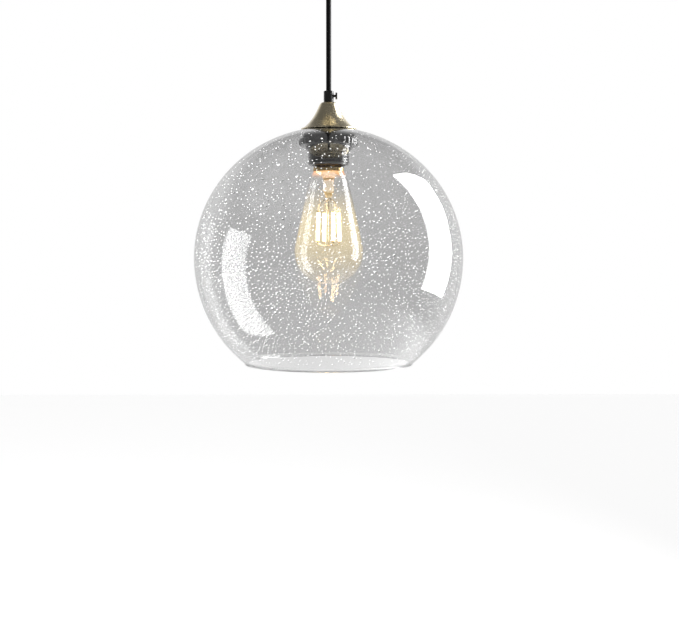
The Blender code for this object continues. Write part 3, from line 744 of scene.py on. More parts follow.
def black_sheath():
    """Extruded black PVC: fine marks along the cord and a faint dusty bloom."""
    finish = Finish("black_sheath", {"IOR": 1.3})
    marks = finish.noise(900, detail=3, at=finish.stretched((1, 1, 0.03)))
    bloom = finish.noise(60, detail=5)
    return finish.set({
        "Base Color": finish.mix(bloom, (0.003, 0.003, 0.0035), (0.007, 0.007, 0.0075)),
        "Roughness": finish.between(marks, 0.3, 0.7, 0.5, 0.65),
        "Normal": finish.bump(marks, 0.00008),
    })


def tube_mesh(name, points, radius, finish, resolution=6):
    """A round cord through the points given."""
    curve = bpy.data.curves.new(name, "CURVE")
    curve.dimensions = "3D"
    curve.bevel_depth = radius
    curve.bevel_resolution = resolution
    curve.use_fill_caps = True
    line = curve.splines.new("POLY")
    line.points.add(len(points) - 1)
    for knot, point in zip(line.points, points):
        knot.co = (*point, 1)
    return plain_mesh(curve, finish)


def straight_flex(name, top, bottom, replaced):
    points = [(0, 0, top + (bottom - top) * i / 24) for i in range(25)]
    mesh = tube_mesh(name, points, flex_diameter / 2, sheath)
    return add_piece(name, mesh, None, replaced), points


sheath = black_sheath()
flex_top, top_path = straight_flex("flex_top", inner_top, lower_bend, ["cord_inner", "cord_upper"])
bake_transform(flex_top)
flex_drop, drop_path = straight_flex("flex_drop", lower_bend, lower_end, ["cord_lower"])
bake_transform(flex_drop)


# ------------------------------------------------------------------------------------------------------------
# Wires. The flex's three cores at each end: brown, blue, and green with yellow stripes, in glossy PVC.
# ------------------------------------------------------------------------------------------------------------
def pvc(name, colour, stripe):
    """Glossy insulation. The second colour runs along the core in broad stripes, or is only a shade of the first."""
    finish = Finish(name, {"IOR": 1.5})
    uv = finish.node("ShaderNodeTexCoord", out="UV")
    across = finish.split(uv)[1]
    band = finish.between((across * 3 + 0.1).fraction(), 0.55, 0.6)
    marks = finish.noise(500, detail=3)
    return finish.set({
        "Base Color": finish.mix(band, colour, stripe),
        "Roughness": finish.between(marks, 0.3, 0.7, 0.25, 0.4),
        "Normal": finish.bump(marks, 0.00005),
    })


def smooth_route(knots, steps=8):
    """Points on a smooth curve through the knots."""
    knots = [Vector(knot) for knot in knots]
    padded = [2 * knots[0] - knots[1], *knots, 2 * knots[-1] - knots[-2]]
    route = []
    for before, start, end, after in zip(padded, padded[1:], padded[2:], padded[3:]):
        for step in range(steps):
            t = step / steps
            bend = (2 * before - 5 * start + 4 * end - after) * t**2 + (3 * start - before - 3 * end + after) * t**3
            route.append((2 * start + (end - before) * t + bend) * 0.5)
    return [*route, knots[-1]]


brown = pvc("brown_core", (0.16, 0.06, 0.028), (0.13, 0.048, 0.022))
blue = pvc("blue_core", (0.03, 0.11, 0.48), (0.024, 0.09, 0.42))
green = pvc("green_core", (0.05, 0.26, 0.05), (0.72, 0.62, 0.04))
canopy_inside = canopy_floor + canopy_wall
start, entry, block_back = inner_top + 0.0003, canopy_inside + 0.005, block_high[1]
for word, side, finish, slot in (("live", -1, brown, "brown_wire"), ("neutral", 1, blue, "blue_wire")):
    route = smooth_route([
        (side * 0.0012, -0.0009, start),
        (side * 0.0012, -0.0009, start + 0.0016),
        (side * 0.0016, -0.0024, start + 0.0046),
        (side * 0.0038, -0.007, start + 0.0054),
        (side * 0.007, -0.013, start + 0.0022),
        (side * 0.008, block_back + 0.0022, entry),
        (side * 0.008, block_back - 0.004, entry),
    ])
    core = tube_mesh(f"core_{word}_upper", route, 0.0009, finish, 4)
    add_piece(f"core_{word}_upper", core, "ceiling", [f"wire_{word}_upper"])
route = smooth_route([
    (0, 0.0014, start),
    (0, 0.0014, start + 0.0016),
    (0.001, 0.0022, start + 0.005),
    (0.0042, 0.0042, start + 0.0086),
    (earth_at[0] - 0.0032, earth_at[1], earth_low[2] + 0.001),
])
add_piece("core_earth_upper", tube_mesh("core_earth_upper", route, 0.0009, green, 4), "ceiling",
          ["wire_earth_upper"])

above = centre_height + 0.1254 - 0.0003
for word, side, finish, slot in (("live", -1, brown, "brown_wire"), ("neutral", 1, blue, "blue_wire")):
    route = smooth_route([
        (side * 0.0013, 0, above),
        (side * 0.0013, 0, above - 0.0016),
        (side * 0.0034, 0, centre_height + 0.1206),
        (side * 0.0064, 0, centre_height + 0.1185),
    ])
    core = tube_mesh(f"core_{word}_lower", route, 0.0008, finish, 4)
    add_piece(f"core_{word}_lower", core, "pendant", [f"lead_{word}"])
route = smooth_route([
    (0, 0.0014, above),
    (0, 0.0014, above - 0.0016),
    (0, 0.0045, above - 0.0024),
    (0, 0.008, above),
    (0, 0.0084, above + 0.003),
])
add_piece("core_earth_lower", tube_mesh("core_earth_lower", route, 0.0008, green, 4), "pendant",
          ["lead_earth"])


# ------------------------------------------------------------------------------------------------------------
# Cord grips. Turned black nylon sleeves that screw onto the ends of the threaded tubes. A knurled nylon screw
# in the side presses on the flex, which sets the lamp's height.
# ------------------------------------------------------------------------------------------------------------
def black_nylon():
    """Moulded black nylon: satin, with a fine moulding grain and slightly greyer where it is handled."""
    finish = Finish("black_nylon", {"IOR": 1.5})
    grain = finish.noise(1800, detail=3)
    wear = finish.noise(120, detail=5)
    return finish.set({
        "Base Color": finish.mix(wear, (0.008, 0.008, 0.0085), (0.022, 0.022, 0.022)),
        "Roughness": finish.between(wear, 0.3, 0.7, 0.3, 0.42),
        "Normal": finish.bump(grain, 0.00004),
    })


def knurl_tree():
    """Raises even ribs round the rim of a turned head."""
    tree = ShapeTree("knurl", ("Count", "Depth", "Inner Radius"))
    given = tree.given
    x, y, _ = tree.split(tree.node("GeometryNodeInputPosition"))
    radius = (x * x + y * y) ** 0.5
    angle = tree.node("ShaderNodeMath", {"operation": "ARCTAN2"}, {0: y, 1: x})
    wave = angle.maths("COSINE", angle * given["Count"]) * 0.5 - 0.5
    push = wave * (radius > given["Inner Radius"]) * given["Depth"] / radius
    offset = tree.joined(x * push, y * push, 0.0)
    made = tree.node("GeometryNodeSetPosition", inputs={"Geometry": given["Geometry"], "Offset": offset})
    return tree.finish(made)


knurl = knurl_tree()
nylon = black_nylon()
grip_radius = 0.00465
grip_shelf = 0.0035
for node, screw_node, body, base, up in (
    ("canopy_cord_grip", "canopy_grip_screw", "ceiling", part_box("canopy_cord_grip")[1][2], -1),
    ("cord_grip", "grip_screw", "pendant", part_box("cord_grip")[0][2], 1),
):
    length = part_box(node)[1][2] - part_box(node)[0][2]
    mouth = base + up * length
    flare = 0.0038 if up < 0 else flex_bore
    grip_outline = [
        (flex_bore, mouth - up * 0.0024),
        (flex_bore + (flare - flex_bore) * 0.3, mouth - up * 0.0011),
        (flare, mouth - up * 0.0002),
        (flare + 0.0002, mouth),
        (grip_radius, mouth, 0.0005),
        (grip_radius, base + up * 0.0012),
        (grip_radius - 0.00022, base + up * 0.00095),
        (grip_radius - 0.00022, base + up * 0.00075),
        (grip_radius, base + up * 0.0005),
        (grip_radius, base, 0.0003),
        (tube_hole, base),
        (tube_hole, base + up * grip_shelf),
        (flex_bore, base + up * grip_shelf),
    ]
    add_piece(f"{node}_nylon", turned(f"{node}_nylon", grip_outline, nylon, 96), body, [node])
    screw_low, screw_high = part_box(screw_node)
    level = (screw_low[2] + screw_high[2]) / 2
    head_radius, head_height = 0.0032, 0.0017
    head = slotted_head(f"{screw_node}_head", head_radius, head_height, nylon, 0.0007, 0.0012,
                        screw_high[0] - head_height - flex_bore)
    head = shaped(head, knurl, {"Count": 24, "Depth": 0.00018, "Inner Radius": head_radius * 0.92})
    moved(head, Matrix.Rotation(math.radians(35), 4, "Z"), Matrix.Rotation(math.radians(90), 4, "Y"),
          Matrix.Translation((screw_high[0] - head_height, 0, level)))
    add_piece(f"{screw_node}_head", head, body, [screw_node])


# ------------------------------------------------------------------------------------------------------------
# Cap. A trumpet spun from brass sheet, with the same antique finish as the canopy: a flat top, a rounded
# shoulder, a flare and a rolled edge that stands on the globe.
# ------------------------------------------------------------------------------------------------------------
cap_top, cap_shoulder, cap_rim = 0.145, 0.1427, 0.1194
cap_top_radius, shoulder_radius, cap_rim_radius = 0.0056, 0.0085, 0.0258
cap_wall = 0.0008


def flared(height):
    """The cap's radius at a height above the globe's middle."""
    t = (cap_shoulder - height) / (cap_shoulder - cap_rim)
    return shoulder_radius + (cap_rim_radius - shoulder_radius) * (0.59 * t + 0.41 * t**3)


roll = 0.0007
levels = [cap_shoulder + (cap_rim + 0.0012 - cap_shoulder) * i / 40 for i in range(41)]
cap_corner = ((cap_top_radius + shoulder_radius) / 2 + 0.0006, cap_top - 0.0011)
cap_outline = [(tube_hole, cap_top), (cap_top_radius, cap_top, 0.0007), (*cap_corner, 0.0008)]
cap_outline += [(flared(level), level) for level in levels[1:]]
cap_outline += quarter((cap_rim_radius - roll, cap_rim + roll), roll, 30, -150, 8)
cap_outline += [(flared(level) - cap_wall, level) for level in reversed(levels[1:])]
cap_outline += [(cap_corner[0] - cap_wall, cap_corner[1] - cap_wall / 2, 0.0005), (cap_top_radius, cap_top - cap_wall, 0.0005),
                (tube_hole, cap_top - cap_wall)]
cap_mesh = turned("cap_spun", cap_outline, patina, 160)
add_piece("cap_spun", cap_mesh, "pendant", ["brass_cap"], (0, 0, centre_height), sharp=50)


# ------------------------------------------------------------------------------------------------------------
# Lampholder. Black moulded plastic: a domed cover and a sleeve with a coarse outside thread, round a ceramic
# contact carrier, a brass screw shell, a sprung contact, two terminal screws and an earth tag.
# ------------------------------------------------------------------------------------------------------------
def black_moulding():
    """Glossy black thermoset with faint flow marks."""
    finish = Finish("black_moulding", {"IOR": 1.6, "Coat Weight": 1.0, "Coat Roughness": 0.04, "Coat IOR": 1.8})
    flow = finish.noise(70, detail=6)
    grain = finish.noise(2200, detail=2)
    return finish.set({
        "Base Color": finish.mix(flow, (0.004, 0.004, 0.0045), (0.011, 0.0105, 0.010)),
        "Roughness": finish.between(flow, 0.3, 0.7, 0.16, 0.26),
        "Normal": finish.bump(grain, 0.00003),
    })


moulding = black_moulding()
cover_top, sleeve_top, sleeve_bottom = 0.1338, 0.1207, 0.0868
cover_low = sleeve_top + 0.0003
cover_wall = 0.0015
cover_outer = [(tube_hole, cover_top), (0.0102, cover_top, 0.0006), (0.0118, 0.132, 0.0008), (0.0146, 0.128, 0.002),
               (0.018, 0.124, 0.0012), (0.0186, cover_low, 0.0003)]
cover_inner = [(radius - cover_wall, height) for radius, height, _ in reversed(cover_outer[2:])]
cover_outline = [*cover_outer, *cover_inner, (0.0088, cover_top - cover_wall), (tube_hole, cover_top - cover_wall)]
add_piece("socket_cover_moulded", turned("socket_cover_moulded", cover_outline, moulding, 128), "pendant",
          ["socket_cover"], (0, 0, centre_height))

sleeve_radius, sleeve_bore = 0.0193, 0.0158
sleeve_root = sleeve_radius - 0.0009
sleeve_outline = [(sleeve_bore + 0.0004, sleeve_bottom), (sleeve_root - 0.0004, sleeve_bottom, 0.0003),
                  (sleeve_root, sleeve_bottom + 0.0006)]
sleeve_outline += wall(sleeve_root, sleeve_bottom + 0.0008, sleeve_top - 0.0022, 0.0028, 18)
sleeve_outline += [(sleeve_root, sleeve_top - 0.0018), (sleeve_radius, sleeve_top - 0.0015, 0.0003),
                   (sleeve_radius, sleeve_top, 0.0004), (sleeve_bore, sleeve_top)]
sleeve_outline += [(sleeve_bore, sleeve_bottom + 0.0005)]
sleeve_mesh = turned("socket_sleeve_moulded", sleeve_outline, moulding, 160)
sleeve_mesh = threaded(sleeve_mesh, 0.0028, 0.0009, sleeve_bottom + 0.0006, sleeve_top - 0.0019, 0.0178,
                       sleeve_radius - 0.0001, sharpness=0.3, run_out=0.0012)
add_piece("socket_sleeve_moulded", sleeve_mesh, "pendant", ["socket_sleeve"], (0, 0, centre_height),
          sharp=60)

core_low, core_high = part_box("socket_core")
core_radius = core_high[0]
core_outline = [(0, core_high[2]), (core_radius - 0.002, core_high[2]), (core_radius - 0.0018, core_high[2] - 0.0006),
                (core_radius, core_high[2] - 0.0006, 0.0002), (core_radius, core_low[2], 0.0003), (0, core_low[2])]
core_disc = turned("core_disc", core_outline, ceramic, 96)
add_piece("socket_core_glazed", core_disc, "pendant", ["socket_core"])

shell_low, shell_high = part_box("screw_shell")
shell_radius = shell_high[0]
screw_pitch = 0.003629
shell_outline = [(0.008, shell_high[2]), (shell_radius - 0.0004, shell_high[2], 0.0003)]
shell_outline += reversed(wall(shell_radius, shell_low[2], shell_high[2] - 0.0006, screw_pitch, 16))
shell_outline += wall(shell_radius - 0.0005, shell_low[2], shell_high[2] - 0.0007, screw_pitch, 16)
shell_outline += [(0.008, shell_high[2] - 0.0006)]
shell_mesh = threaded(turned("screw_shell_rolled", shell_outline, brass, 96), screw_pitch, -0.0009, shell_low[2],
                      shell_high[2] - 0.001, 0.0139, 0.02, run_out=0.002)
add_piece("screw_shell_rolled", shell_mesh, "pendant", ["screw_shell"], sharp=60)

contact_low, contact_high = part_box("centre_contact")
contact_outline = round_outline(contact_high[0] - contact_low[0], contact_high[1] - contact_low[1], 0.0016)
contact_mesh = plate("contact_tongue", [contact_outline, shifted(round_outline(0.002, 0.002, 0.00099), -0.0031)], 0.0005,
                     0.0001, brass)
contact_middle = (contact_low[0] + contact_high[0]) / 2
for vertex in contact_mesh.vertices:
    beyond = vertex.co.x + contact_middle + 0.003
    vertex.co.z -= 0.00025 + (0.4 / 5.5 * beyond if beyond > 0 else 0)
add_piece("contact_tongue", contact_mesh, "pendant", ["centre_contact"],
          (contact_middle, 0, contact_high[2]))

for side, word in ((-1, "live"), (1, "neutral")):
    node = f"terminal_screw_{word}"
    low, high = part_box(node)
    head = slotted_head(f"{node}_head", (high[0] - low[0]) / 2, high[2] - low[2], brass, 0.0006)
    add_piece(f"{node}_head", head, "pendant", [node], ((low[0] + high[0]) / 2, 0, low[2]))

tag_low, tag_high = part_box("earth_tag")
tag_outlines = [round_outline(2 * tag_high[0], 2 * tag_high[0], tag_high[0] * 0.999, 12), round_outline(0.0076, 0.0076, 0.00379, 12)]
tag_mesh = plate("earth_tag_stamped", tag_outlines, tag_high[2] - tag_low[2], 0.0001, brass)
add_piece("earth_tag_stamped", tag_mesh, "pendant", ["earth_tag"], (0, 0, (tag_low[2] + tag_high[2]) / 2))


# ------------------------------------------------------------------------------------------------------------
# Globe. Blown smoke-tinted glass, 250 mm across and open below, with a fire-polished rim. Thousands of tiny air
# bubbles, called seeds, lie in its wall, and its surface is slightly wavy.
# ------------------------------------------------------------------------------------------------------------
globe_radius, globe_top, globe_wall = 0.125, 0.1215, 0.0025
neck_radius = 0.0204
mouth_drop = 0.098 - globe_wall / 2


def globe_side(inset, steps=72):
    """One face of the wall from neck to mouth: a slightly flattened upper half and a round lower half."""
    radius, top = globe_radius - inset, globe_top - inset
    upper, lower = math.acos(neck_radius / radius), math.asin(mouth_drop / radius)
    high = [upper * (1 - i / steps) for i in range(steps)]
    low = [lower * i / steps for i in range(steps + 1)]
    return [(radius * math.cos(a), top * math.sin(a)) for a in high] + [
        (radius * math.cos(a), -radius * math.sin(a)) for a in low
    ]


def smoke_glass():
    """Clear soda glass with a grey tint and slow waves from blowing."""
    finish = Finish("smoke_glass", {"Transmission Weight": 1.0, "IOR": 1.5, "Roughness": 0.0})
    waves = finish.noise(28, detail=2)
    ripples = finish.noise(260, detail=2)
    tint = finish.mix(finish.noise(14, detail=3), (0.68, 0.68, 0.68), (0.73, 0.73, 0.73))
    edge = finish.between(finish.node("ShaderNodeLayerWeight", inputs={"Blend": 0.5}, out="Facing"), 0.77, 0.87)
    return finish.set({
        "Base Color": finish.mix(edge, tint, (0.08, 0.08, 0.08)),
        "Normal": finish.bump(ripples, 0.0000015, finish.bump(waves, 0.00008)),
    })


outer_side, inner_side = globe_side(0), globe_side(globe_wall)
rim_middle = (Vector(outer_side[-1]) + Vector(inner_side[-1])) / 2
rim_half = (Vector(outer_side[-1]) - Vector(inner_side[-1])).length / 2
globe_outline = outer_side + quarter(rim_middle, rim_half, 0, -180, 14)[1:-1] + inner_side[::-1]
glass = smoke_glass()
globe_mesh = turned("globe_blown", globe_outline, glass, 192)
add_piece("globe_blown", globe_mesh, "shade", ["glass_globe"], (0, 0, centre_height), sharp=60)


def seed_tree():
    """Scatters flattened bubbles over a surface, crowded where its 'crowd' attribute is high."""
    tree = ShapeTree("seeds", ("Density", "Spacing", "Smallest", "Largest", "Rarity", "Thickness", "Roundness", "Seed"))
    given = tree.given
    crowd = tree.node("GeometryNodeInputNamedAttribute", {"data_type": "FLOAT"}, {"Name": "crowd"})
    spots = tree.node(
        "GeometryNodeDistributePointsOnFaces",
        {"distribute_method": "POISSON"},
        {"Mesh": given["Geometry"], "Distance Min": given["Spacing"], "Density Max": given["Density"],
         "Density Factor": crowd, "Seed": given["Seed"]},
    )
    turn = Field(tree, spots.socket.node.outputs["Rotation"])
    bubble = tree.node("GeometryNodeMeshIcoSphere", inputs={"Radius": 1.0, "Subdivisions": given["Roundness"]})
    chance = tree.node("FunctionNodeRandomValue", {"data_type": "FLOAT"}, {2: 0.0, 3: 1.0, "Seed": given["Seed"]}, out=1)
    longer = tree.node("FunctionNodeRandomValue", {"data_type": "FLOAT"}, {2: 1.0, 3: 1.25, "ID": 7}, out=1)
    size = given["Smallest"] + (given["Largest"] - given["Smallest"]) * chance ** given["Rarity"]
    scale = tree.joined(size * longer, size, size * given["Thickness"])
    placed = tree.node(
        "GeometryNodeInstanceOnPoints",
        inputs={"Points": spots, "Instance": bubble, "Rotation": turn, "Scale": scale},
    )
    return tree.finish(placed)


def seed_skin():
    """The skin of an air bubble, with a painted highlight, white and glowing, on its side facing up and to -X, and
    painted shade, dark, on the rest.
    """
    finish = Finish("seed_skin", {"Roughness": 0.25, "Emission Strength": 1.0})
    facing = finish.split(finish.node("ShaderNodeNewGeometry", out="Normal"))
    # Painted highlight and shade: white with emission where the normal faces up and to -X, dark elsewhere.
    painted_highlight = finish.between(facing[2] * 0.8 - facing[0] * 0.6 + finish.noise(700, detail=2) * 0.3, 0.2, 0.5)
    return finish.set({
        "Base Color": finish.mix(painted_highlight, (0.02, 0.02, 0.02), (0.9, 0.9, 0.9)),
        "Emission Color": finish.mix(painted_highlight, (0.0, 0.0, 0.0), (5.0, 5.0, 5.0)),
    })


seed_surface = turned("seed_surface", globe_side(globe_wall / 2, 40)[3:-3], seed_skin(), 96, closed=False)


def crowded(mesh):
    """Stores how thickly the seeds lie: packed in the lower half and on the left, thin near the neck."""
    crowd = mesh.attributes.new("crowd", "FLOAT", "POINT")
    for vertex, value in zip(mesh.vertices, crowd.data):
        x, y, z = vertex.co
        turn = math.atan2(y, x)
        low_down = min(1.0, max(0.0, (globe_top * 0.85 - z) / (globe_top * 0.9)))
        drift = 0.5 + 0.25 * math.sin(3 * turn + 1.3) + 0.25 * math.sin(5 * turn + 55 * z + 0.4)
        thin = 1 - 0.35 * min(1.0, max(0.0, -z / mouth_drop))
        value.value = (0.3 + 0.7 * low_down) * (0.4 + 0.6 * drift) * thin
    return mesh


seeds = seed_tree()
crowded(seed_surface)
fine = {"Density": 150000.0, "Spacing": 0.0026, "Smallest": 0.00036, "Largest": 0.00056, "Rarity": 1.2, "Thickness": 0.9, "Roundness": 1,
        "Seed": 3}
large = {"Density": 4000.0, "Spacing": 0.004, "Smallest": 0.0006, "Largest": 0.0009, "Rarity": 1.6, "Thickness": 0.6, "Roundness": 2,
         "Seed": 11}
for name, sizes in (("seeds_fine", fine), ("seeds_large", large)):
    bubbles = shaped(seed_surface, seeds, sizes)
    add_piece(name, bubbles, "shade", (), (0, 0, centre_height), sharp=180)
bpy.data.meshes.remove(seed_surface)


# ------------------------------------------------------------------------------------------------------------
# Ring and gasket. A moulded ring that screws up the lampholder's thread and clamps the globe's neck against a
# soft rubber gasket. Ribs round its flange give a grip.
# ------------------------------------------------------------------------------------------------------------
ring_low, ring_high = (corner[2] - centre_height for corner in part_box("shade_ring"))
flange_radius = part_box("shade_ring")[1][0]
hub_radius, ring_bore, flange_height = 0.0216, 0.0196, 0.0064
flange_low = ring_high - flange_height
ring_outline = [
    (ring_bore, ring_high),
    (flange_radius - 0.0004, ring_high, 0.0006),
    (flange_radius, ring_high - 0.0012, 0.0004),
]
ring_outline += reversed(wall(flange_radius, flange_low + 0.0014, ring_high - 0.0014, 0.001, 3))
ring_outline += [
    (flange_radius - 0.0008, flange_low, 0.0007),
    (hub_radius + 0.0006, flange_low),
    (hub_radius, flange_low - 0.0006),
    (hub_radius, ring_low, 0.0006),
    (ring_bore, ring_low),
]
ring_mesh = shaped(turned("ring_moulded", ring_outline, moulding, 288), knurl,
                   {"Count": 36, "Depth": 0.0005, "Inner Radius": flange_radius * 0.985})
add_piece("ring_moulded", ring_mesh, "ring", ["shade_ring"], (0, 0, centre_height))


def soft_rubber():
    """Matt black rubber, dusted grey."""
    finish = Finish("soft_rubber", {"IOR": 1.5})
    dust = finish.noise(260, detail=6)
    return finish.set({
        "Base Color": finish.mix(finish.between(dust, 0.4, 0.7), (0.014, 0.014, 0.014), (0.045, 0.044, 0.042)),
        "Roughness": finish.between(dust, 0.3, 0.7, 0.6, 0.8),
        "Normal": finish.bump(dust, 0.00008),
    })


gasket_low, gasket_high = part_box("shade_gasket")
gasket_outline = [(ring_bore, gasket_high[2]), (gasket_high[0], gasket_high[2], 0.0012),
                  (gasket_high[0], gasket_low[2] + 0.0025, 0.0006), (gasket_high[0] - 0.0006, gasket_low[2] + 0.0022, 0.0003),
                  (gasket_high[0] - 0.0006, gasket_low[2], 0.0004), (ring_bore, gasket_low[2])]
gasket_mesh = turned("gasket_rubber", gasket_outline, soft_rubber(), 96)
add_piece("gasket_rubber", gasket_mesh, "shade", ["shade_gasket"])


# ------------------------------------------------------------------------------------------------------------
# Bulb. A clear blown envelope with a rolled brass screw base, a black glass insulator, a tin tip and, inside
# the base, a small driver board.
# ------------------------------------------------------------------------------------------------------------
bulb_radius, bulb_centre, bulb_wall = 0.032, 0.0069, 0.001
bulb_neck, bulb_neck_radius = 0.0812, 0.0142
filament_high, filament_low = 0.0445, 0.015


def bulb_envelope():
    """Clear thin glass with painted light: a faint warm glow in a band round the filaments' height, and an orange
    painted reflection of the brass base at its neck.
    """
    finish = Finish("bulb_envelope", {"Transmission Weight": 1.0, "IOR": 1.45, "Roughness": 0.0})
    height = finish.around()[2] - centre_height
    # Painted glow: warm emission in a band round the filaments' height.
    lit = finish.between(height, -0.032, 0.025) * finish.between(height, 0.032, 0.07, 1.0, 0.0)
    # Painted reflection: orange emission at the neck, standing in for the brass base.
    neck = finish.between(height, bulb_neck - 0.006, bulb_neck - 0.001)
    warm = finish.mix(lit, (0.004, 0.003, 0.001), (0.14, 0.10, 0.024))
    tint = finish.mix(finish.noise(30, detail=2), (0.97, 0.965, 0.95), (0.99, 0.985, 0.975))
    return finish.set({
        "Base Color": tint,
        "Emission Color": finish.mix(neck, warm, (0.30, 0.11, 0.02)),
        "Emission Strength": 1.0,
        "Normal": finish.bump(finish.noise(40, detail=2), 0.0001),
    })


def envelope_side(inset):
    """One face of the envelope from its neck down to the pole."""
    neck = [(bulb_neck_radius - inset, bulb_neck - 0.0003), (bulb_neck_radius + 0.0001 - inset, 0.0802),
            (0.0154 - inset, 0.079, 0.0015), (0.0179 - inset, 0.0745, 0.003)]
    end = quarter((0, bulb_centre), bulb_radius - inset, 12.4, -90, 40)
    return [*neck, *end[:-1], (0, end[-1][1])]


envelope_outline = [*reversed(envelope_side(bulb_wall)), *envelope_side(0)]
envelope = turned("bulb_envelope", envelope_outline, bulb_envelope(), 128)
add_piece("bulb_envelope", envelope, "bulb", ["bulb_glass"], (0, 0, centre_height), sharp=70)

base_top, base_radius, base_flare, base_wall = 0.106, 0.0132, 0.0145, 0.0006
base_root = base_radius - 0.0009
base_outline = [(base_root - base_wall, base_top), (base_root, base_top, 0.0004)]
base_outline += reversed(wall(base_root, bulb_neck + 0.0062, base_top - 0.0006, screw_pitch, 16))
base_outline += [(base_radius - 0.0004, bulb_neck + 0.0054, 0.0005), (base_flare, bulb_neck + 0.0028, 0.0008),
                 (base_flare, bulb_neck, 0.0002), (base_flare - base_wall, bulb_neck),
                 (base_flare - base_wall, bulb_neck + 0.0024), (base_root - base_wall, bulb_neck + 0.0055)]
base_mesh = threaded(turned("bulb_base_rolled", base_outline, brass, 128), screw_pitch, 0.0009, bulb_neck + 0.006,
                     base_top - 0.0008, base_root - 0.0002, base_radius - 0.0003, run_out=0.003)
add_piece("bulb_base_rolled", base_mesh, "bulb", ["bulb_screw_base"], (0, 0, centre_height), sharp=60)


def black_glass():
    """The black glass filling between the base and its tip, pressed while hot."""
    finish = Finish("black_glass_filling", {"IOR": 1.55, "Coat Weight": 0.3})
    flow = finish.noise(300, detail=3)
    return finish.set({
        "Base Color": finish.mix(flow, (0.006, 0.006, 0.012), (0.016, 0.014, 0.024)),
        "Roughness": finish.between(flow, 0.3, 0.7, 0.06, 0.16),
        "Normal": finish.bump(flow, 0.0001),
    })


filling_outline = [(0, 0.110), (0.0054, 0.110, 0.0004), (0.0075, 0.1089, 0.0008), (0.0126, base_top + 0.0003, 0.0005),
                   (0, base_top + 0.0003)]
add_piece("bulb_filling", turned("bulb_filling", filling_outline, black_glass(), 64), "bulb",
          ["bulb_insulator"], (0, 0, centre_height))
tip = 0.1103
tip_outline = [(0, tip + 0.0012), (0.0012, tip + 0.0012), (0.0034, tip + 0.0011, 0.0004), (0.0046, tip + 0.0006, 0.0003),
               (0.0046, tip), (0, tip)]
add_piece("bulb_tip_tinned", turned("bulb_tip_tinned", tip_outline, zinc, 48), "bulb", ["bulb_tip"],
          (0, 0, centre_height))


def board_lacquer():
    """Green solder lacquer over copper tracks."""
    finish = Finish("board_lacquer", {"IOR": 1.5, "Coat Weight": 0.3})
    tracks = finish.node("ShaderNodeTexBrick", inputs={"Vector": finish.place, "Scale": 900.0, "Color1": (0, 0, 0),
                                                       "Color2": (0, 0, 0), "Mortar": (1, 1, 1)})
    grain = finish.noise(400, detail=4)
    return finish.set({
        "Base Color": finish.mix(tracks, (0.02, 0.15, 0.05), (0.07, 0.27, 0.10)),
        "Roughness": finish.between(grain, 0.3, 0.7, 0.35, 0.5),
        "Normal": finish.bump(tracks, 0.00003),
    })


driver_low, driver_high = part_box("bulb_driver")
driver_size = [high - low for low, high in zip(driver_low, driver_high)]
driver_middle = Vector([(low + high) / 2 for low, high in zip(driver_low, driver_high)])
upright = Matrix.Rotation(math.radians(90), 4, "X")
board = plate("driver_board", [round_outline(driver_size[0], driver_size[2], 0.0006)], driver_size[1] * 0.6, 0.0001,
              board_lacquer())
chips = [board]
for x, z, width, height in ((-0.004, 0.004, 0.004, 0.0046), (0.004, 0.0035, 0.0032, 0.003), (0, -0.004, 0.006, 0.005)):
    chip = plate("chip", [round_outline(width, height, 0.0003)], 0.001, 0.0001, moulding)
    chips.append(moved(chip, Matrix.Translation((x, z, 0.0003))))
add_piece("driver_board", moved(joined_mesh("driver_board", chips), upright), "bulb", ["bulb_driver"],
          driver_middle)


# ------------------------------------------------------------------------------------------------------------
# Stem and filaments. A glass tube, flared where it is sealed into the neck and pressed flat at its end, holds
# a centre post and four lead wires, which carry four upright coated filaments with metal ends.
# ------------------------------------------------------------------------------------------------------------
def stem_glass():
    """Thicker soft glass with a painted yellow glow, stronger at its lower end, for the filaments' light below it."""
    finish = Finish("stem_glass", {"Transmission Weight": 1.0, "IOR": 1.5, "Roughness": 0.0, "Emission Strength": 1.0})
    waves = finish.noise(180, detail=2)
    height = finish.around()[2] - centre_height
    return finish.set({
        # Painted glow: yellow emission, stronger at the stem's lower end near the filaments.
        "Emission Color": finish.mix(finish.between(height, 0.055, 0.08), (0.30, 0.22, 0.10), (0.16, 0.10, 0.04)),
        "Base Color": finish.mix(waves, (0.95, 0.94, 0.92), (0.98, 0.975, 0.96)),
        "Normal": finish.bump(waves, 0.0003),
    })


def nickel():
    finish = Finish("nickel", {"Metallic": 1.0})
    drawn = finish.noise(800, detail=3)
    return finish.set({
        "Base Color": finish.mix(drawn, (0.50, 0.47, 0.43), (0.68, 0.65, 0.60)),
        "Roughness": finish.between(drawn, 0.3, 0.7, 0.2, 0.36),
    })


def lit_coating():
    """The filaments' coating, lit: dots of light one after another under a yellow film."""
    finish = Finish("lit_coating", {"Base Color": (0.9, 0.6, 0.2), "Roughness": 0.5, "Emission Strength": 60.0})
    height = finish.around()[2]
    dots = finish.between((height * 900).fraction(), 0.2, 0.8)
    return finish.set({"Emission Color": finish.mix(dots, (1.0, 0.62, 0.28), (1.0, 0.74, 0.42))})


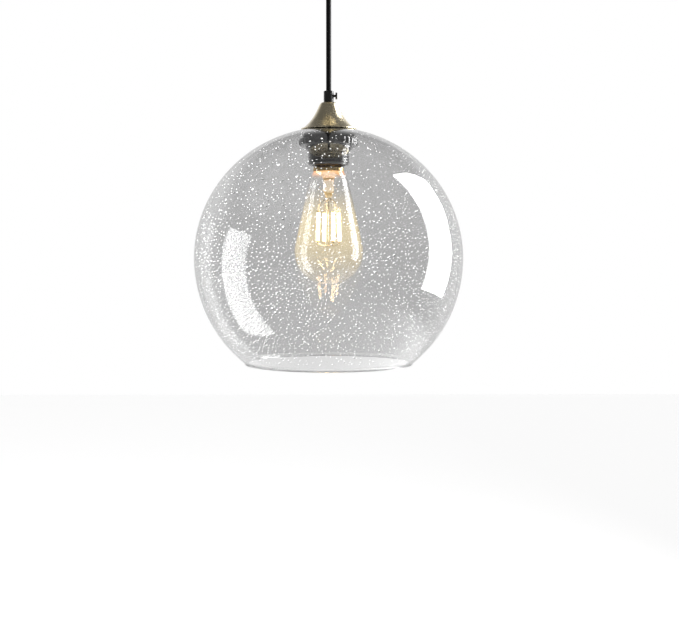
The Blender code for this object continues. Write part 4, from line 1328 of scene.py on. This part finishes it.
metal = nickel()
stem_low, stem_tube, stem_tube_low = 0.057, 0.0048, 0.062
stem_free = bulb_neck_radius - bulb_wall - 0.0003
stem_outline = [(0, bulb_neck - 0.0003), (stem_free, bulb_neck - 0.0003, 0.0004), (stem_free, bulb_neck - 0.0015, 0.0008),
                (0.0065, 0.0765, 0.003), (stem_tube, 0.073, 0.002), (stem_tube, stem_tube_low, 0.002),
                (0.0024, stem_low, 0.0006), (0, stem_low)]
stem = turned("stem_pressed", stem_outline, stem_glass(), 64)
for vertex in stem.vertices:
    pressed = min(1.0, max(0.0, (0.064 - vertex.co.z) / 0.005))
    vertex.co.y *= 1 - 0.45 * pressed
add_piece("stem_pressed", stem, "bulb", ["bulb_stem"], (0, 0, centre_height), sharp=60)

coating = lit_coating()
wire_radius, filament_radius = 0.00045, 0.0016
cage_top, cage_bottom, post_hub = 0.0102, 0.0112, 0.0115
first_filament = 22.5
lift = Vector((0, 0, centre_height))
post_parts = [tube_mesh("post", [lift + Vector((0, 0, z)) for z in (stem_low - 0.0003, 0.03, post_hub)], 0.0005, metal, 3)]
for number in range(4):
    angle = math.radians(first_filament) + math.tau * number / 4
    outward = Vector((math.cos(angle), math.sin(angle), 0))
    top = lift + outward * cage_top + Vector((0, 0, filament_high))
    bottom = lift + outward * cage_bottom + Vector((0, 0, filament_low))
    along = (bottom - top).normalized()
    rod = tube_mesh("rod", [top + along * 0.0016, bottom - along * 0.0016], filament_radius, coating, 4)
    caps = [tube_mesh("cap", [end, end + inward * 0.0018], filament_radius * 0.86, metal, 3)
            for end, inward in ((top, along), (bottom, -along))]
    add_piece(f"filament_rod_{number + 1}", joined_mesh("rod", [rod, *caps]), "bulb",
              [f"filament_{number + 1}"])
    spoke = smooth_route([lift + Vector((0, 0, post_hub + 0.0009)), lift + outward * 0.006 + Vector((0, 0, post_hub + 0.0008)),
                          bottom + along * 0.0006], 6)
    post_parts.append(tube_mesh("spoke", spoke, wire_radius, metal, 2))
    start = lift + outward * 0.0017 + Vector((0, 0, stem_low - 0.0003))
    middle = lift + outward * (2 * cage_top - cage_bottom) * 0.75 + Vector((0, 0, stem_low - 0.005))
    lead = tube_mesh(f"lead_{number + 1}", smooth_route([start, middle, top - along * 0.0006]), wire_radius, metal, 2)
    add_piece(f"lead_{number + 1}", lead, "bulb", [f"lead_wire_{number + 1}"])
add_piece("post_and_spokes", joined_mesh("post_and_spokes", post_parts), "bulb", ["bulb_post"])
